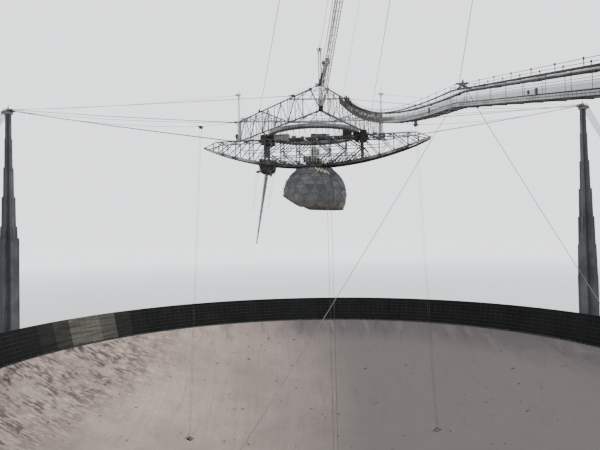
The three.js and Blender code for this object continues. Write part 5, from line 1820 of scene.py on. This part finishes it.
def catwalk_sides():
    """Wire mesh from the kerb to the ropes: clear above, closer below, and close and dark at the upper end with grime
    and painted shade.
    """
    mesh, grimy = Gathered(), Gathered()
    places = even(WALK_END[0], WALK_TOP_END, 90)
    for side in (-1, 1):
        x = side * (WALK_HALF - 0.06)
        for order, (y, following) in enumerate(pairs(places)):
            chance = spread(order)
            for low, high in ((0.55, 1.3), (1.3, 2.3)):
                rows = [[walk_spot(x, spot, rise) for spot in (y, following)] for rise in (low, high)]
                fading = min(max((WALK_GRIME_AND_SHADE + 14 - y) / 26, 0), 1)
                # On the near side the lower band turns dark from further down: painted shade on that side, with grime.
                below = side < 0 and high < 2 and y > WALK_GRIME_AND_SHADE - 12
                if below or y > WALK_GRIME_AND_SHADE + (9 if side > 0 else 0):
                    grimy.strip(rows, 0.12 * chance + 0.3 * fading)
                elif high > 2:
                    mesh.strip(rows, 0.1 if y > WALK_KINK[0] else 0.0)
                else:
                    mesh.strip(rows, 0.58 + 0.08 * chance if y > WALK_KINK[0] else 0.4 + 0.04 * chance)
    for order in range(30):
        chance, other = scatter(order, 1), scatter(order, 2)
        y = WALK_GRIME_AND_SHADE + (order + other) / 31 * (-50 - WALK_GRIME_AND_SHADE)
        x = -WALK_HALF + 0.03
        rows = [[walk_spot(x, spot, rise) for spot in (y, y + 0.5 + 1.7 * other)]
                for rise in (0.7 + chance, 1 + chance + 0.35 * other)]
        grimy.strip(rows, 0.25 + 0.6 * other)
    return mesh, grimy


def catwalk_frames():
    """Hoops every few metres, the deck's ribs, the rods along its edges and a few blocks under it."""
    frames = Gathered()
    places = even(WALK_END[0] + 0.5, WALK_TOP_END, 44)
    for y in places:
        for side in (-1, 1):
            x = side * (WALK_HALF - 0.1)
            frames.bar(walk_spot(x, y, 0.5), walk_spot(x, y, WALK_SIDE_TOP), 0.035)
        frames.bar(walk_spot(-WALK_HALF, y, -0.06), walk_spot(WALK_HALF, y, -0.06), 0.12)
    for y in places[3::8]:
        for side in (-1, 1):
            frames.block(walk_spot(side * 0.8, y, -0.1), (0.16, 0.2, 0.2))
    for side in (-1, 1):
        x = side * (WALK_HALF + 0.01)
        for rise, radius in ((0.54, 0.06), (0.28, 0.025), (0.0, 0.07)):
            frames.rod([walk_spot(x, y, rise) for y in places], radius, 4)
        frames.rod([walk_spot(side * (WALK_HALF - 0.06), y, 1.5) for y in places], 0.02, 4)
    return frames


def catwalk_ropes():
    """The heavy ropes along the top of the sides, the near one plain and the far one lumpy."""
    ropes = Gathered()
    places = even(WALK_END[0] + 0.2, WALK_TOP_END + 2, 120)
    for side, rise, radius in ((-1, 2.32, 0.12), (1, 2.2, 0.13)):
        x = side * (WALK_HALF - 0.04)
        ropes.rod([walk_spot(x, y, rise) for y in places], radius, 8)
        for order, y in enumerate(places[2:-2:3]):
            size = radius + (0.03 if side < 0 else 0.07) * spread(order)
            ropes.taper(walk_spot(x, y - 1.1, rise), walk_spot(x, y + 0.7, rise), size, size * 0.8, 8)
    return ropes


def catwalk_highlight():
    """A pale, lumpy pipe that lies on the far rope, as a painted highlight on that rope's sunlit top."""
    highlight = Gathered()
    places = even(WALK_END[0] + 0.2, WALK_TOP_END - 4, 100)
    x = WALK_HALF - 0.06
    for order, (y, following) in enumerate(pairs(places)):
        ends = [walk_spot(x, spot, WALK_SIDE_TOP) for spot in (y, following)]
        highlight.rod(ends, 0.07 + 0.06 * spread(order), 6)
    return highlight


def catwalk_lights():
    """The thin wires over the ropes, on small posts with round heads."""
    lights = Gathered()
    places = even(WALK_END[0] + 0.4, WALK_TOP_END + 2, 90)
    for side in (-1, 1):
        x = side * (WALK_HALF - 0.04)
        lights.rod([walk_spot(x, y, WALK_SIDE_TOP + 0.62) for y in places], 0.03, 4)
    for order, y in enumerate(even(WALK_END[0] + 2, WALK_TOP_END, 84)):
        side = 1 if order % 2 else -1
        x = side * (WALK_HALF - 0.04)
        lights.bar(walk_spot(x, y, WALK_SIDE_TOP), walk_spot(x, y, WALK_SIDE_TOP + 0.6), 0.05)
        head = [walk_spot(x, y, WALK_SIDE_TOP + rise) for rise in (0.55, 0.75)]
        lights.taper(*head, 0.08, 0.06, 6)
    return lights


def catwalk_saddle():
    """The star-shaped bracket over the bend, and the small things hung beside and under the walkway."""
    saddle = Gathered()
    y = WALK_KINK[0] - 2.1
    middle = walk_spot(-0.2, y, 3.05)
    for x, rise in ((-0.9, 0.12), (0.9, 0.16), (-0.6, -0.6), (0.55, -0.6), (0.08, 0.65)):
        end = middle + Vector((x, 0, rise))
        saddle.taper(middle, end, 0.2, 0.09, 6)
    saddle.block(middle, (0.55, 0.45, 0.45))
    for side in (-1, 1):
        saddle.bar(middle, walk_spot(side * (WALK_HALF - 0.04), y, WALK_SIDE_TOP), 0.14)
    for y, rise, size in ((-178.4, 0.85, 0.6), (-176.9, 0.85, 0.35), (-144.4, 0.75, 0.9)):
        spot = walk_spot(-(WALK_HALF + 0.06), y, rise)
        saddle.block(spot, (0.16, 0.55 * size, size))
    hung = walk_spot(-0.6, -134.6, -0.6)
    saddle.block(hung, (0.5, 0.4, 0.5))
    saddle.bar(hung, hung + Vector((0, 0, 0.55)), 0.12)
    return saddle


def landing_machinery():
    """The winch boxes over the walkway near its upper end, with their posts."""
    box = Gathered()
    for y in (-41.5, -44, -46.5):
        box.block(walk_spot(-0.1, y, 2.1), (1.6, 2.4, 1.2))
    for y in (-43.5, -48.5):
        box.bar(walk_spot(-0.6, y, 2.2), walk_spot(-0.6, y, 4.7), 0.5)
    for side in (-1, 1):
        box.bar(walk_spot(side * 0.9, -44, 0.3), walk_spot(side * 0.9, -44, 2.9), 0.3)
    return box


def bend_stays():
    """The light portal at the bend, its hanger to the tower's head and its two guys to the rim beam."""
    stays = Gathered()
    y, z = WALK_KINK
    top = z + WALK_SIDE_TOP + 0.3
    socket = (SLAB_HALF + 0.5 + SEAT_GAP, -TOWER_RADIUS, SLAB_Z)
    stays.block(socket, (1, 1, 0.9))
    stays.rod(hanging((WALK_X, y, top), socket, 1), 0.045, 6)
    for side, azimuth, rise in ((-1, -105.7, 0.1), (1, -62.7, 2.4)):
        x = WALK_X + side * (WALK_HALF + 0.1 + SEAT_GAP)
        foot = polar(BEAM_INNER + 0.8, azimuth, BEAM_TOP + 0.4 + SEAT_GAP)
        stays.upright(x, y, z - 0.3, top + 0.1, 0.07)
        stays.lengthwise(WALK_X, x, y, top, 0.1)
        stays.block(foot, (0.7, 0.7, 0.7))
        stays.rod(hanging((x, y, z + rise), foot, 1.5), 0.045, 6)
    return stays


def landing_wire():
    """The thin rope from the near tower's head to the catwalk's landing."""
    wire = Gathered()
    head = Vector((SLAB_HALF * 0.6, -TOWER_RADIUS + SLAB_HALF + 0.1, SLAB_Z))
    wire.rod(hanging(head, walk_spot(0.6, WALK_TOP_END + 1, 2.9), 1), 0.045, 4)
    return wire


def add_catwalk():
    body = "fixed_structure"
    mesh, grimy = catwalk_sides()
    piece("catwalk_mesh", mesh, WALK_MESH, body, ["catwalk_screen_left", "catwalk_screen_right"])
    piece("catwalk_mesh_upper", grimy, GRIMY_SHADED_MESH, body)
    piece("catwalk_frames", catwalk_frames(), DARK_STEEL, body)
    piece("catwalk_ropes", catwalk_ropes(), DARK_STEEL, body)
    piece("catwalk_highlight", catwalk_highlight(), PALE_ROPE, body)
    piece("catwalk_lights", catwalk_lights(), DARK_STEEL, body)
    piece("catwalk_saddle", catwalk_saddle(), CHORD_STEEL, body)
    piece("landing_machinery", landing_machinery(), DARK_STEEL, body)
    piece("landing_wire", landing_wire(), THIN_ROPE, body)
    piece("bend_stays", bend_stays(), THIN_ROPE, body, ["catwalk_stays"])


# Stage and light: a pale room, whose backdrop is brighter than the light that it gives

SURROUND = 1.2
BACKDROP = 2.25
STUDIO_TINT = shade(236, 239, 243)


def plain_floor():
    floor = Gathered()
    reach = 700
    floor.add([(x * reach, y * reach, -0.002) for x, y in SQUARE], [(0, 1, 2, 3)])
    mesh = bpy.data.meshes.new("floor")
    mesh.from_pydata(floor.corners, [], floor.faces)
    finish = Finish("pale floor", 0.95)
    tint = finish.mix(finish.blotches(finish.place(), 0.05, 0.3, 0.7), shade(232, 233, 232), shade(228, 229, 229))
    x, y, _ = finish.split(finish.place())
    distance = finish.maths("SQRT", finish.maths("ADD", finish.times(x, x), finish.times(y, y)))
    far = finish.between(distance, 12, 120)
    finish.set(base_color=finish.mix(far, tint, (0, 0, 0, 1)),
               emission_color=finish.mix(far, (0, 0, 0, 1), STUDIO_TINT))
    finish.shader.inputs["Emission Strength"].default_value = BACKDROP
    mesh.materials.append(finish.material)
    made = bpy.data.objects.new("floor", mesh)
    bpy.context.scene.collection.objects.link(made)


def lamp(name, place, size, power):
    """A round area light that looks at the platform."""
    light = bpy.data.objects.new(name, bpy.data.lights.new(name, "AREA"))
    light.data.shape = "DISK"
    light.data.size = size
    light.data.energy = power
    light.location = place
    light.rotation_euler = (Vector((0, 0, 5)) - Vector(place)).to_track_quat("-Z", "Y").to_euler()
    bpy.context.scene.collection.objects.link(light)


def studio():
    plain_floor()
    world = bpy.data.worlds.new("studio")
    world.use_nodes = True
    nodes, links = world.node_tree.nodes, world.node_tree.links
    surround = nodes["Background"]
    surround.inputs["Color"].default_value = STUDIO_TINT
    surround.inputs["Strength"].default_value = SURROUND
    backdrop = nodes.new("ShaderNodeBackground")
    backdrop.inputs["Color"].default_value = STUDIO_TINT
    backdrop.inputs["Strength"].default_value = BACKDROP
    choice = nodes.new("ShaderNodeMixShader")
    links.new(nodes.new("ShaderNodeLightPath").outputs["Is Camera Ray"], choice.inputs[0])
    links.new(surround.outputs[0], choice.inputs[1])
    links.new(backdrop.outputs[0], choice.inputs[2])
    links.new(choice.outputs[0], nodes["World Output"].inputs["Surface"])
    bpy.context.scene.world = world
    lamp("key", (22, 6, 40), size=12, power=9000)
    lamp("fill", (-30, -30, 26), size=18, power=2500)


dress_nodes()
add_bowl()
add_towers()
add_platform()
add_arm()
add_dome()
add_feed()
add_catwalk()
studio()
